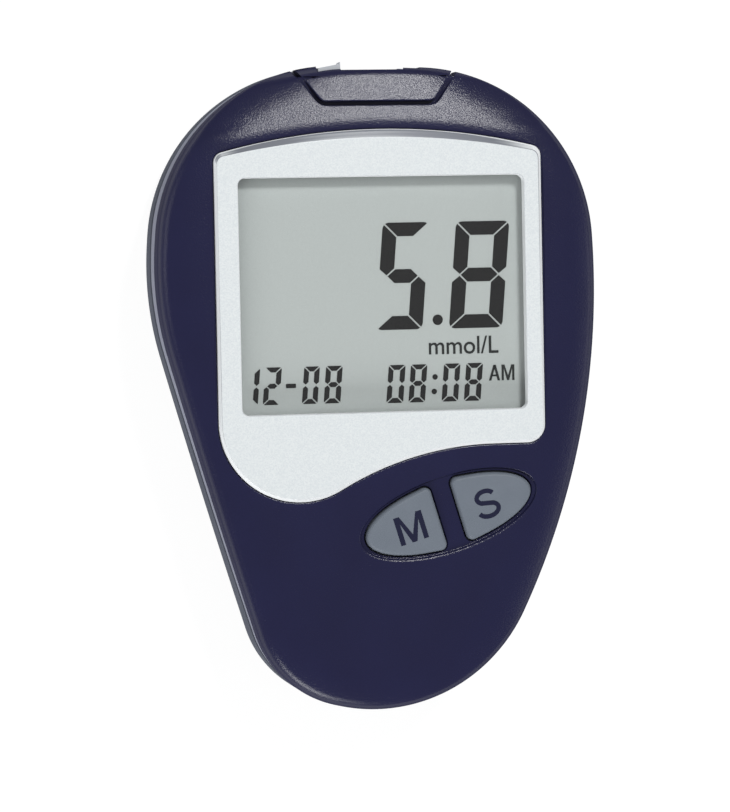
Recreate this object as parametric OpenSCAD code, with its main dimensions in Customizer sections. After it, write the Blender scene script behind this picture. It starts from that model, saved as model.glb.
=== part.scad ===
// Blood glucose meter: a pear-shaped hand-held reader with a silver face plate, a display window,
// two keys in a tilted oval, a strip port at the head end and two AAA cells in the back.
// It lies on its back: width along X, strip port towards +Y, face towards +Z, feet at Z = 0.

/* [Body] */
// Overall width across the head
body_w = 63.5; // [61.5:0.5:78]
// Overall length from the strip port to the tail
body_l = 92; // [88:1:112]
// Height of the flat front face above the table
face_z = 19.8; // [19.8:0.2:24]
// Height of the rim where the front cover meets the side band
rim_z = 14.2; // [14:0.1:14.4]
// Radius of the left shoulder
left_shoulder_r = 25.6; // [24:0.1:27]
// Radius of the right shoulder
right_shoulder_r = 25.5; // [24:0.1:27]
// Radius of the round tail
tail_r = 24; // [22:0.2:24.6]
// Smaller radius at the left side of the tail
left_tail_r = 15.2; // [14:0.1:16.4]
// Wide curve of the left side below the shoulder
left_waist_r = 46.6; // [40:0.2:54]
// Bow of the top edge between the shoulders
top_bow_r = 220; // [120:10:400]
// Bow of the right flank
right_flank_r = 107; // [90:1:160]
// Bow between the two radii of the tail
tail_bow_r = 40; // [30:1:60]
// Bow of the left flank, which is nearly straight
left_flank_r = 1500; // [400:100:1500]
// Bow between the left shoulder and the wide curve below it
left_side_r = 90; // [60:5:160]
// Wall of the front cover
front_wall = 1.6; // [1.2:0.1:1.8]
// Wall of the side band and of the back cover
back_wall = 1.8; // [1.4:0.1:2]
// Radius of the rounded lower edge of the back cover
belly_r = 6.5; // [5:0.5:7]

/* [Front edge] */
// Radius of the front cover's rounded rim
rim_r = 2; // [1.4:0.2:2.4]
// Steepest slope of the crown inside the rim, in degrees
crown_angle = 18; // [10:1:20]
// Radius of the crown that runs into the flat face
crown_r = 16; // [10:1:17]
// Slope of the ramp at the strip port end, in degrees
ramp_angle = 14; // [8:1:16]

/* [Face plate] */
// Left edge of the face plate
plate_left = -23.8; // [-25:0.1:-23]
// Right edge of the face plate
plate_right = 23.4; // [22.4:0.1:24]
// How far the plate's top edge lies below the top of the body
plate_top_gap = 9.3; // [8.8:0.1:10]
// Bow of the plate's top edge
plate_bow_r = 92; // [80:1:110]
// Bow of the crest line above the top bevel
plate_crest_r = 116; // [104:1:130]
// Width of the top bevel at its middle
plate_top_bevel = 1.25; // [0.8:0.05:1.6]
// Width of the bevel along the other edges
plate_bevel = 0.4; // [0.2:0.05:0.6]
// Radius of the round lobe at the lower left
plate_lobe_r = 11.6; // [10:0.2:12.4]
// Radius of the hollow sweep between the lobe and the lower right corner
plate_sweep_r = 45; // [40:1:60]
// Thickness of the face plate
plate_t = 1.4; // [1.2:0.1:1.6]
// How far the plate stands above the front face
plate_proud = 0.6; // [0.3:0.1:0.7]

/* [Display] */
// Width of the display window
window_w = 41.3; // [38:0.1:41.5]
// Height of the display window
window_h = 33.35; // [30:0.05:33.6]
// Distance from the top of the body to the middle of the window
window_gap = 32.68; // [32:0.02:33.4]
// Thickness of the clear window lens
lens_t = 1; // [0.8:0.1:1.1]
// Thickness of the liquid crystal panel
lcd_t = 1.3; // [1.1:0.1:1.3]

/* [Keys] */
// Half length of the oval formed by both keys
keys_a = 12.5; // [10:0.1:12.6]
// Half height of the oval formed by both keys
keys_b = 4.7; // [4:0.1:4.9]
// Tilt of the oval, in degrees
keys_tilt = 16.5; // [12:0.5:20]
// Width of the bridge between the keys
bridge_w = 3.15; // [2.4:0.05:3.6]
// Height of the key tops above the front face
key_proud = 0.5; // [0.3:0.1:0.8]
// Travel of a key
key_travel = 0.5; // [0.4:0.05:0.6]
// Depth of the shallow dish round the keys
dish_depth = 0.45; // [0.3:0.05:0.6]

/* [Strip port] */
// Sideways place of the strip slot
port_x = -0.4; // [-1:0.1:0.5]
// Width of the test strip slot
slot_w = 9.05; // [7:0.05:9.6]
// Height of the test strip slot
slot_h = 0.8; // [0.7:0.1:0.9]
// Width of the light bezel round the slot
bezel_w = 14.6; // [13:0.1:15]
// Width of the port cover at its inner edge
cover_w = 16.2; // [15.6:0.2:18]
// Length of the port cover from the top of the body
cover_l = 5.3; // [4.8:0.1:5.8]
// Width of the groove round the port cover
groove_w = 0.6; // [0.4:0.05:0.8]

/* [Cells] */
// Diameter of an AAA cell
cell_d = 10.5; // [10.2:0.1:10.6]
// Length of an AAA cell with its button
cell_l = 44.5; // [43.5:0.1:44.6]
// Room at the spring end of a cell
spring_l = 5; // [4.5:0.1:5.4]
// Thickness of the battery door
door_t = 1.5; // [1.2:0.1:1.7]

/* [Fits] */
// Gap round a key
key_gap = 0.25; // [0.2:0.05:0.35]
// Gap round a piece that is set into another
seat_gap = 0.12; // [0.1:0.02:0.2]
// Gap round the battery door
door_gap = 0.3; // [0.2:0.05:0.4]
// Height of the rubber feet below the back cover
foot_proud = 0.4; // [0.3:0.1:0.6]

/* [Hidden] */
$fn = 64;
eps = 0.01;
far = 200;
// Room between pieces that pass each other without touching
room = 0.3;

navy = "#27284a";
band_grey = "#6b6e7b";
back_grey = "#565966";
silver = "#dadde2";
key_grey = "#8b9098";
lcd_green = "#aeb4b1";
board_green = "#2f6b46";
steel = "#b9bcc0";
light_grey = "#c9ccd2";
black = "#26272b";
jacket = "#d8dde3";

head_y = body_l / 2;
tail_y = -body_l / 2;
back_z = foot_proud;

function xy(v) = [v[0], v[1]];
function direction(from, to) = atan2(to[1] - from[1], to[0] - from[0]);
function sweep(from, to) = ((to - from) % 360 + 360) % 360;
function on_circle(centre, r, a) = centre + r * [cos(a), sin(a)];
function arc(centre, r, from, to, steps) =
    [for (i = [0:steps]) on_circle(centre, r, from + (to - from) * i / steps)];
function with_radius(centre, r) = [centre[0], centre[1], r];

// Outline: corner circles [x, y, r] in clockwise order, joined by bows that are tangent to them.
// The left tail lies inside the tail circle and the left shoulder inside the waist circle,
// and each of these pairs all but touches.
touch = 0.04;
tail_turn = 251;
waist_turn = 172;
left_shoulder = [left_shoulder_r - body_w / 2 + 0.17, head_y - left_shoulder_r - 0.14];
right_shoulder = [body_w / 2 - right_shoulder_r - 0.18, head_y - right_shoulder_r - 0.5];
tail = [-1, tail_y + tail_r];
left_tail = on_circle(tail, tail_r - left_tail_r + touch, tail_turn);
left_waist = on_circle(left_shoulder, left_waist_r - left_shoulder_r + touch, waist_turn - 180);
corners = [
    with_radius(left_shoulder, left_shoulder_r),
    with_radius(right_shoulder, right_shoulder_r),
    with_radius(tail, tail_r),
    with_radius(left_tail, left_tail_r),
    with_radius(left_waist, left_waist_r)
];
bows = [top_bow_r, right_flank_r, tail_bow_r, left_flank_r, left_side_r];
last = len(corners) - 1;
function after(i) = (i + 1) % len(corners);
function before(i) = (i + last) % len(corners);

// Crossing of two circles, on the right of the way from p to q
function crossing(p, rp, q, rq) =
    let (d = norm(q - p), along = (rp * rp - rq * rq + d * d) / (2 * d), u = (q - p) / d)
    p + along * u + sqrt(rp * rp - along * along) * [u[1], -u[0]];

bow_centres = [for (i = [0:last])
    crossing(xy(corners[i]), bows[i] - corners[i][2],
        xy(corners[after(i)]), bows[i] - corners[after(i)][2])];

// Each arc of the outline is [centre, radius, start angle, clockwise sweep, steps].
corner_steps = [18, 15, 12, 9, 5];
bow_steps = [2, 8, 1, 3, 1];
function corner_arc(i) =
    let (c = xy(corners[i]),
        start = direction(bow_centres[before(i)], c))
    [c, corners[i][2], start, sweep(direction(bow_centres[i], c), start), corner_steps[i]];
function bow_arc(i) =
    let (m = bow_centres[i],
        start = direction(m, xy(corners[i])))
    [m, bows[i], start, sweep(direction(m, xy(corners[after(i)])), start), bow_steps[i]];
outline = [for (i = [0:last]) each [corner_arc(i), bow_arc(i)]];

// Points of the outline at an inset, clockwise. Every inset gives the same number of points.
function contour(inset) =
    [for (a = outline, i = [0:a[4] - 1]) on_circle(a[0], a[1] - inset, a[2] - a[3] * i / a[4])];

function at_height(points, z) = [for (p = points) [p[0], p[1], z]];

// Closed solid through clockwise rings of equal point count, from the bottom ring up
module loft(rings) {
    n = len(rings[0]);
    levels = len(rings);
    sides = [for (k = [0:levels - 2], i = [0:n - 1])
        let (a = k * n + i, b = k * n + (i + 1) % n)
        each [[a, b, b + n], [a, b + n, a + n]]];
    bottom = [for (i = [n - 1:-1:0]) i];
    top = [for (i = [0:n - 1]) (levels - 1) * n + i];
    polyhedron([for (r = rings) each r], concat([bottom], sides, [top]), convexity = 8);
}

module slab(inset, z0, z1) {
    translate([0, 0, z0])
        linear_extrude(z1 - z0)
            polygon(contour(inset));
}

// The ramp falls from an arc beside the face plate to the strip port end, and ends in a rounded brow.
ramp_centre = [0.7, head_y - plate_top_gap - plate_bow_r];
ramp_from = plate_bow_r + 1.2;
ramp_to = plate_bow_r + plate_top_gap - 1.4;
ramp_blend_r = 10;
ramp_blend_w = ramp_blend_r * sin(ramp_angle);
ramp_blend_z = face_z - ramp_blend_r * (1 - cos(ramp_angle));
ramp_end_z = ramp_blend_z - (ramp_to - ramp_from - ramp_blend_w) * tan(ramp_angle);
brow_r = 2;
brow_at = [ramp_to - brow_r * sin(ramp_angle), ramp_end_z - brow_r * cos(ramp_angle)];

function ramp_height(p) =
    let (r = norm(xy(p) - ramp_centre), brow = min(r - brow_at[0], brow_r * 0.98))
    r < ramp_from ? far :
    r < ramp_from + ramp_blend_w ? face_z - ramp_blend_r + sqrt(pow(ramp_blend_r, 2) - pow(r - ramp_from, 2)) :
    r < ramp_to ? ramp_blend_z - (r - ramp_from - ramp_blend_w) * tan(ramp_angle) :
    brow_at[1] + sqrt(pow(brow_r, 2) - pow(brow, 2));

function face_ring(inset, z, lower) =
    [for (p = contour(inset)) [p[0], p[1], min(z, ramp_height(p) - lower)]];

// Front cover profile [inset, z]: straight rim, rounded edge, gentle crown, flat face
flat_from = 8;
reach = 10;
rim_turn = 90 - crown_angle;
crown_in = rim_r * (1 - cos(rim_turn)) + crown_r * sin(crown_angle);
crown_drop = crown_r * (1 - cos(crown_angle));
rim_top = face_z - crown_drop - rim_r * sin(rim_turn);
ceiling_z = face_z - front_wall;
front_edge = concat(
    arc([rim_r, rim_top], rim_r, 180, 180 - rim_turn, 5),
    arc([crown_in, face_z - crown_r], crown_r, 90 + crown_angle - crown_angle / 4, 90, 3),
    [[flat_from, face_z], [reach, face_z]]);

module front_body() {
    loft(concat(
        [at_height(contour(0), rim_z)],
        [for (p = front_edge) face_ring(p[0], p[1], 0)]));
}

module front_hollow() {
    ramp_wall = 1.3;
    shoulder_z = rim_top - 0.4;
    ceiling_insets = [front_wall + 1.4, 5, 7, reach];
    loft(concat(
        [at_height(contour(front_wall), rim_z - eps), face_ring(front_wall, shoulder_z, ramp_wall)],
        [for (inset = ceiling_insets) face_ring(inset, ceiling_z, ramp_wall)]));
}

// Face plate outline, clockwise from the upper left. grow widens it all round.
plate_y = head_y - plate_top_gap;
plate_corner_r = 1.5;
plate_low_corner_r = 2.6;
plate_low_y = plate_y - 45;
lobe_centre = [plate_left + plate_lobe_r, plate_low_y - 7.5 + plate_lobe_r];
sweep_y = plate_low_y - plate_sweep_r;
sweep_centre = [lobe_centre[0]
    + sqrt(pow(plate_sweep_r + plate_lobe_r, 2) - pow(sweep_y - lobe_centre[1], 2)), sweep_y];

function corner_at(x, c, r) = [x, c[1] + sqrt(pow(r - plate_corner_r, 2) - pow(x - c[0], 2))];
function plate_outline(grow, bow_r, lower) =
    let (top = [ramp_centre[0], plate_y - lower - bow_r],
        left = corner_at(plate_left + plate_corner_r, top, bow_r),
        right = corner_at(plate_right - plate_corner_r, top, bow_r),
        low = [plate_right - plate_low_corner_r, plate_low_y + plate_low_corner_r],
        turn = direction(sweep_centre, lobe_centre))
    concat(
        arc(left, plate_corner_r + grow, 180, direction(top, left), 6),
        arc(top, bow_r + grow, direction(top, left), direction(top, right), 20),
        arc(right, plate_corner_r + grow, direction(top, right), 0, 6),
        arc(low, plate_low_corner_r + grow, 0, -90, 8),
        arc(sweep_centre, plate_sweep_r - grow, 90, turn, 14),
        arc(lobe_centre, plate_lobe_r + grow, turn - 180, -180, 20));

plate_z = face_z + plate_proud - plate_t;
plate_edge_h = 0.45;
window_x = 0.14;
window_y = head_y - window_gap;
window_corner_r = 1;

module rounded_rect(w, h, r) {
    x = w / 2 - r;
    y = h / 2 - r;
    polygon(concat(arc([x, y], r, 0, 90, 5), arc([-x, y], r, 90, 180, 5),
        arc([-x, -y], r, 180, 270, 5), arc([x, -y], r, 270, 360, 5)));
}

module window_block(grow, z0, z1) {
    translate([window_x, window_y, z0])
        linear_extrude(z1 - z0)
            rounded_rect(window_w + 2 * grow, window_h + 2 * grow, window_corner_r);
}

module face_plate() {
    color(silver)
        difference() {
            loft([
                at_height(plate_outline(0, plate_bow_r, 0), plate_z),
                at_height(plate_outline(0, plate_bow_r, 0), plate_z + plate_t - plate_edge_h),
                at_height(plate_outline(-plate_bevel, plate_crest_r, plate_top_bevel - plate_bevel),
                    plate_z + plate_t)
            ]);
            window_block(0, plate_z - 1, plate_z + plate_t + 1);
        }
}

// Window lens under the edge of the plate
lens_lap = 0.5;
lens_z = plate_z - lens_t;

module window_lens() {
    color([0.9, 0.95, 1, 0.4])
        window_block(lens_lap, lens_z, plate_z);
}

// Display stack on the circuit board
board_t = 1.2;
board_drop = 5.4;
board_z = face_z - board_drop;
board_top = board_z + board_t;
lcd_side = 1;
lcd_ledge = 1.6;
lcd_w = window_w + 2 * lcd_side;
lcd_h = window_h + 2 * lcd_ledge;
lcd_z = lens_z - 0.1 - lcd_t;
holder_wall = 0.9;
holder_shelf = 0.6;
strip_w = 1.4;

module lcd_panel() {
    glass = lcd_t / 2;
    color(lcd_green)
        translate([window_x, window_y, lcd_z]) {
            translate([-lcd_w / 2, -lcd_h / 2, 0])
                cube([lcd_w, lcd_h, glass]);
            translate([-lcd_w / 2, -lcd_h / 2 + lcd_ledge * 0.6, glass])
                cube([lcd_w, lcd_h - lcd_ledge * 0.6, lcd_t - glass]);
        }
}

backing_t = 0.3;

module lcd_backing() {
    w = lcd_w - 2 * (holder_shelf + seat_gap);
    h = lcd_h - 4 * strip_w - 1;
    color("#e6e8e4")
        translate([window_x - w / 2, window_y - h / 2, lcd_z - backing_t])
            cube([w, h, backing_t]);
}

module contact_strips() {
    color(black)
        for (side = [-1, 1])
            translate([window_x - lcd_w / 2 + 1, window_y + side * (lcd_h / 2 - strip_w) - strip_w / 2, board_top])
                cube([lcd_w - 2, strip_w, lcd_z - board_top]);
}

module holder_block(grow, z0, z1) {
    translate([window_x - lcd_w / 2 - grow, window_y - lcd_h / 2 - grow, z0])
        cube([lcd_w + 2 * grow, lcd_h + 2 * grow, z1 - z0]);
}

// Frame that keeps the glass over the contact strips, with a shelf and four pegs into the board
peg_r = 0.7;
peg_places = [for (sx = [-1, 1], sy = [-0.6, 0.6])
    [window_x + sx * (lcd_w / 2 + holder_wall - peg_r - 0.05), window_y + sy * lcd_h / 2]];

module lcd_holder() {
    color("#e9eaec")
        difference() {
            union() {
                holder_block(holder_wall, board_top, lcd_z + lcd_t);
                posts(peg_places, peg_r, board_z, board_top + 0.5);
            }
            holder_block(seat_gap, lcd_z, far);
            difference() {
                holder_block(0, board_top - eps, lcd_z + 1);
                for (sx = [-1, 1])
                    translate([window_x + sx * (lcd_w - holder_shelf) / 2 - holder_shelf / 2,
                            window_y - lcd_h / 2 - 1, 0])
                        cube([holder_shelf, lcd_h + 2, lcd_z]);
            }
        }
}

module posts(places, r, z0, z1) {
    for (p = places)
        translate([p[0], p[1], z0])
            cylinder(r = r, h = z1 - z0);
}

// Screws through the back cover into bosses of the front cover: [x, y]
boss_places = [
    [-body_w / 2 + 6.2, head_y - 32],
    [body_w / 2 - 6.2, head_y - 31],
    [17.4, tail_y + 18],
    [-16.9, tail_y + 24]
];
boss_r = 2.4;
screw_r = 1;
screw_head_r = 1.9;
screw_head_h = 1.5;
screw_seat_z = 6;
screw_l = 10.6;
boss_split_z = rim_z - 0.4;

// Board screws sit in posts of the front cover.
board_screw_places = [[-24.6, head_y - 23], [-18.5, tail_y + 37.9], [23.5, tail_y + 34]];
board_post_r = 1.7;
board_screw_r = 0.7;
board_screw_head_h = 0.7;
board_screw_l = 1.6;

board_low_y = tail_y + 20.5;

module circuit_board() {
    board_inset = 3.5;
    color(board_green)
        difference() {
            slab(board_inset, board_z, board_top);
            translate([-far / 2, board_low_y - far, 0])
                cube([far, far, far / 2]);
            posts(boss_places, boss_r + room, 0, far);
            posts(board_screw_places, board_screw_r + 0.15, 0, far);
            posts(peg_places, peg_r + 0.1, 0, far);
        }
}

module board_screws() {
    color(steel)
        for (p = board_screw_places)
            translate([p[0], p[1], board_z - board_screw_head_h])
                difference() {
                    union() {
                        cylinder(r = 1.3, h = board_screw_head_h);
                        cylinder(r = board_screw_r, h = board_screw_head_h + board_t + board_screw_l);
                    }
                    for (turn = [0, 90])
                        rotate([0, 0, turn])
                            translate([-0.9, -0.15, -eps])
                                cube([1.8, 0.3, 0.3]);
                }
}

module controller_chip() {
    size = 7;
    body_h = 1.2;
    pitch = 0.8;
    pins = 7;
    color(black)
        translate([-7.6, tail_y + 31.5, board_top]) {
            translate([-size / 2, -size / 2, 0.1])
                cube([size, size, body_h]);
            for (turn = [0:90:270], i = [0:pins - 1])
                rotate([0, 0, turn])
                    translate([size / 2 - 0.3, (i - (pins - 1) / 2) * pitch - 0.15, 0])
                        cube([1.3, 0.3, 0.35]);
        }
}

module board_parts() {
    part_w = 1;
    part_l = 1.8;
    part_h = 0.8;
    row = 8;
    step = 2.4;
    color("#8a7a62") {
        for (i = [0:row - 1])
            translate([-16 + i * step, tail_y + 37.1, board_top])
                cube([part_w, part_l, part_h]);
        for (side = [-1, 1], i = [0:2])
            translate([port_x + side * (11 + 2 * i) - part_w / 2, head_y - 11.2, board_top])
                cube([part_w, part_l, part_h]);
    }
}

module crystal_can() {
    r = 0.95;
    color(steel)
        translate([-13.2, tail_y + 23.6, board_top + r])
            rotate([0, 90, 0])
                cylinder(r = r, h = 6);
}

buzzer_r = 4.2;
buzzer_at = [-16.7, tail_y + 31.6];

module buzzer() {
    color("#d8c27a")
        translate([buzzer_at[0], buzzer_at[1], board_top]) {
            cylinder(r = buzzer_r, h = 0.3);
            cylinder(r = buzzer_r - 0.8, h = 1.6);
            translate([0, 0, 1.6])
                cylinder(r = 0.8, h = 0.2);
        }
}

// Strip socket behind the port, with a slot at the level of the bezel's slot
socket_w = slot_w + 3.4;
socket_l = 9.2;
socket_h = 1.5;
socket_end_y = head_y - 2.9;
slot_z = board_top + 0.4;
socket_pins = 4;

module socket_slot(w, h, from_y, to_y) {
    translate([port_x - w / 2, from_y, slot_z])
        cube([w, to_y - from_y, h]);
}

module strip_socket() {
    color("#e4e4e0")
        difference() {
            translate([port_x - socket_w / 2, socket_end_y - socket_l, board_top])
                cube([socket_w, socket_l, socket_h]);
            socket_slot(slot_w, slot_h, socket_end_y - socket_l + 1.2, far);
            for (i = [0:socket_pins - 1])
                translate([port_x + (i - (socket_pins - 1) / 2) * 2, socket_end_y - socket_l - 1, board_top - eps])
                    translate([-0.5, 0, 0])
                        cube([1, 6, slot_z - board_top + 2 * eps]);
        }
}

// Bent spring fingers that touch the strip from below
module strip_contacts() {
    finger_w = 0.7;
    finger_t = 0.15;
    color("#c9a24a")
        for (i = [0:socket_pins - 1])
            translate([port_x + (i - (socket_pins - 1) / 2) * 2 - finger_w / 2, socket_end_y - socket_l, board_top])
                rotate([90, 0, 90])
                    linear_extrude(finger_w)
                        polygon([[-1.2, 0], [2, 0], [4, 0.62], [4.8, 0.3], [4.8, 0.3 + finger_t],
                            [4, 0.62 + finger_t], [1.95, finger_t], [-1.2, finger_t]]);
}

bezel_x = port_x - 0.4;
bezel_z = board_top - 0.8;
bezel_h = 2.5;
bezel_out = 0.35;

// The bezel stands out most at the left side of the slot and runs flush at its right end.
module strip_bezel() {
    mouth = 0.5;
    in_y = socket_end_y + seat_gap;
    left = bezel_x - bezel_w / 2;
    right = bezel_x + bezel_w / 2;
    color(light_grey)
        difference() {
            translate([0, 0, bezel_z])
                linear_extrude(bezel_h)
                    polygon([[left, in_y], [right, in_y], [right, head_y - 0.15],
                        [port_x - slot_w / 2, head_y + bezel_out], [left, head_y - 0.05]]);
            translate([bezel_x - far / 2, socket_end_y - 1, board_z - 1])
                cube([far, 1.9, board_t + 1.15]);
            translate([port_x - slot_w / 2, socket_end_y, slot_z])
                cube([slot_w, far, slot_h]);
            translate([port_x, head_y + bezel_out, slot_z + slot_h / 2])
                rotate([90, 0, 0])
                    hull() {
                        cube([slot_w + 2 * mouth, slot_h + 2 * mouth, eps], center = true);
                        translate([0, 0, 2 * mouth])
                            cube([slot_w, slot_h, eps], center = true);
                    }
            port_notch();
        }
}

// Shallow notch in every layer of the end wall, where the strip leaves the slot
notch_depth = 0.8;

module port_notch() {
    translate([port_x - slot_w / 2, head_y - notch_depth, -1])
        cube([slot_w, far, far]);
}

// Port cover: it fills a tapering gap in the ramp and slides out towards +Y for cleaning.
cover_x = 0.1;
cover_t = 2;
cover_seat = 0.2;
cover_z = face_z - cover_t;
cover_wall = 1.3;
cover_flare = 36;
cover_corner_r = 1.4;
cover_end_w = cover_w + 2;
shelf_w = 1.1;

// Plan of the cover: a trapezium with rounded inner corners that opens towards the strip port end
module cover_plan(grow) {
    half = cover_w / 2 + grow;
    y0 = head_y - cover_l - grow;
    long = cover_l + grow + 4;
    lean = long * tan(cover_flare);
    r = max(0.2, cover_corner_r + grow);
    c = [half - r * tan((90 - cover_flare) / 2), y0 + r];
    round = arc(c, r, -cover_flare, -90, 6);
    translate([cover_x, 0])
        polygon(concat(
            [[half + lean, y0 + long]],
            round,
            [for (i = [len(round) - 1:-1:0]) [-round[i][0], round[i][1]]],
            [[-half - lean, y0 + long]]));
}

module cover_block(grow, z0, z1) {
    translate([0, 0, z0])
        linear_extrude(z1 - z0)
            cover_plan(grow);
}

module cover_end(grow) {
    translate([cover_x - cover_end_w / 2 - grow, head_y - cover_wall - grow - 0.4, rim_z - 1])
        cube([cover_end_w + 2 * grow, 10, cover_z - rim_z + 2]);
}

module bezel_window(grow) {
    translate([bezel_x - bezel_w / 2 - grow, socket_end_y - 0.6, bezel_z - 2])
        cube([bezel_w + 2 * grow, far, bezel_h + 2 + grow]);
}

module port_cover() {
    color(navy)
        difference() {
            intersection() {
                front_body();
                union() {
                    cover_block(0, cover_z + cover_seat, far / 2);
                    difference() {
                        cover_end(0);
                        translate([0, 0, -far + rim_z + 0.25])
                            cube([far, far, 2 * far], center = true);
                    }
                }
            }
            bezel_window(0.15);
            port_notch();
        }
}

// Keys: two parts of one tilted oval, with the bridge between them
keys_at = [9.1, head_y - 64.15];
key_corner_r = 0.9;
key_top = face_z + key_proud;
flange_w = 0.8;
flange_t = 0.7;
flange_top = ceiling_z - 0.12;
dish_a = keys_a + 0.9;
dish_b = keys_b + 0.65;

module oval(a, b) {
    polygon([for (i = [0:59]) [a * cos(i * 6), b * sin(i * 6)]]);
}

module key_plan(side, grow) {
    offset(r = key_corner_r + grow, $fn = 32)
        offset(delta = -key_corner_r)
            intersection() {
                oval(keys_a, keys_b);
                translate([side > 0 ? bridge_w / 2 : -bridge_w / 2 - far, -far / 2])
                    square([far, far]);
            }
}

module at_keys() {
    translate([keys_at[0], keys_at[1], 0])
        rotate([0, 0, keys_tilt])
            children();
}

module key_block(side, grow, z0, z1) {
    at_keys()
        translate([0, 0, z0])
            linear_extrude(z1 - z0)
                key_plan(side, grow);
}

switch_out = 6.2;
switch_size = 4.4;
switch_h = 1;
plunger_r = 1;
plunger_top = flange_top - flange_t;

module key(side) {
    color(key_grey) {
        hull() {
            key_block(side, 0, flange_top - eps, key_top - 0.55);
            key_block(side, -0.15, flange_top, key_top - 0.2);
            key_block(side, -0.5, flange_top, key_top);
        }
        key_block(side, flange_w, plunger_top, flange_top);
    }
}

module mode_key() {
    key(-1);
}

module set_key() {
    key(1);
}

// Tactile switch: a flat housing with a bore that the plunger sinks into
module switch_housing(side) {
    color(steel)
        at_keys()
            translate([side * switch_out, 0, board_top])
                difference() {
                    union() {
                        translate([-switch_size / 2, -switch_size / 2, 0])
                            cube([switch_size, switch_size, switch_h]);
                        for (sx = [-1, 1], sy = [-1, 1])
                            translate([sx * (switch_size / 2 + 0.4) - 0.4, sy * 1.4 - 0.3, 0])
                                cube([0.8, 0.6, 0.2]);
                    }
                    translate([0, 0, 0.15])
                        cylinder(r = plunger_r + 0.12, h = switch_h);
                }
}

module mode_switch() {
    switch_housing(-1);
}

module set_switch() {
    switch_housing(1);
}

module switch_plunger(side) {
    low = board_top + 0.15 + key_travel + 0.05;
    color(black)
        at_keys()
            translate([side * switch_out, 0, low])
                cylinder(r = plunger_r, h = plunger_top - low);
}

module mode_plunger() {
    switch_plunger(-1);
}

module set_plunger() {
    switch_plunger(1);
}

// Front cover, with a ledge round the port cover
post_top = face_z - 0.4;
ledge_w = 1;
ledge_t = 0.5;

module front_cover() {
    color(navy)
        difference() {
            union() {
                difference() {
                    front_body();
                    front_hollow();
                }
                intersection() {
                    union() {
                        posts(boss_places, boss_r, boss_split_z + 0.2, post_top);
                        posts(board_screw_places, board_post_r, board_top, post_top);
                        cover_block(groove_w + ledge_w, cover_z - ledge_t, far);
                    }
                    union() {
                        front_body();
                        slab(front_wall, rim_z - 1, rim_z + 1);
                    }
                }
            }
            posts(boss_places, screw_r + 0.05, 0, screw_seat_z + screw_l + 0.4);
            posts(board_screw_places, board_screw_r + 0.05, 0, board_top + 1.8);
            translate([0, 0, plate_z])
                linear_extrude(far)
                    polygon(plate_outline(seat_gap, plate_bow_r, 0));
            window_block(lens_lap + seat_gap, 0, far);
            holder_block(holder_wall + room, 0, lcd_z + lcd_t + 0.05);
            at_keys()
                translate([0, 0, face_z - dish_depth])
                    linear_extrude(far)
                        oval(dish_a, dish_b);
            for (side = [-1, 1])
                key_block(side, key_gap, 0, far);
            cover_block(groove_w, cover_z, far);
            cover_block(-shelf_w, 0, far);
            cover_end(room);
            bezel_window(room);
            translate([port_x - socket_w / 2 - room, socket_end_y - socket_l - 1.6, 0])
                cube([socket_w + 2 * room, far, cover_z - ledge_t]);
            port_notch();
        }
}

// Side band: a ring between the front and back covers. Its lower edge rises towards the tail.
split_head_z = 8.9;
split_tail_z = 11.6;
split_angle = atan((split_tail_z - split_head_z) / body_l);
split_gap = 0.35;
lip_gap = 0.2;
lip_t = 1;

function split_ring(inset, raise) =
    [for (p = contour(inset)) [p[0], p[1], split_head_z + raise + (head_y - p[1]) * tan(split_angle)]];

module side_band() {
    outer = 0.15;
    lip = max(front_wall, back_wall) + lip_gap;
    color(band_grey)
        difference() {
            union() {
                loft([split_ring(outer, split_gap), at_height(contour(outer), rim_z)]);
                loft([split_ring(lip, -1), at_height(contour(lip), rim_z + 1.2)]);
            }
            loft([split_ring(lip + lip_t, -2), at_height(contour(lip + lip_t), rim_z + 2)]);
            posts(boss_places, boss_r + room, 0, far);
            cover_end(room);
            bezel_window(room);
            port_notch();
        }
}

// Back cover with the cell bay
bay_gap = 0.4;
bay_w = 2 * cell_d + 3 * bay_gap;
bay_l = cell_l + spring_l + 1.6;
bay_x = -0.8;
bay_y = tail_y + 14.2;
bay_wall = 1.2;
cell_z = back_z + door_t + 0.2 + cell_d / 2;
bay_top = cell_z + cell_d / 2 + 0.3;
floor_t = 1.6;
door_lap = 1.3;
door_w = bay_w + 2 * door_lap - 0.4;
door_y = bay_y - door_lap + 0.2;
door_end_y = bay_y + bay_l + door_lap - 0.2;
door_corner_r = 2;
tab_places = [-6, 6];
tab_w = 3;
tab_out = 1.5;
tab_t = 0.9;

foot_r = 2.6;
foot_sink = 0.4;
foot_places = [
    [-body_w / 2 + 14, head_y - 17],
    [body_w / 2 - 14, head_y - 17],
    [-body_w / 2 + 12, tail_y + 36],
    [body_w / 2 - 12, tail_y + 34]
];

module bay_block(grow, z0, z1) {
    translate([bay_x - bay_w / 2 - grow, bay_y - grow, z0])
        cube([bay_w + 2 * grow, bay_l + 2 * grow, z1 - z0]);
}

module door_plan(grow) {
    translate([bay_x, (door_y + door_end_y) / 2])
        rounded_rect(door_w + 2 * grow, door_end_y - door_y + 2 * grow, door_corner_r + grow);
}

belly_at = [belly_r, back_z + belly_r];

module back_body(shrink) {
    loft(concat(
        [for (p = arc(belly_at, belly_r - shrink, -90, -180, 7)) at_height(contour(p[0]), p[1])],
        [split_ring(shrink, 0)]));
}

module back_hollow() {
    loft(concat(
        [at_height(contour(belly_r), back_z + floor_t)],
        [for (p = arc(belly_at, belly_r - back_wall, -100, -180, 5)) at_height(contour(p[0]), max(p[1], back_z + floor_t + eps))],
        [split_ring(back_wall, 1)]));
}

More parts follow.
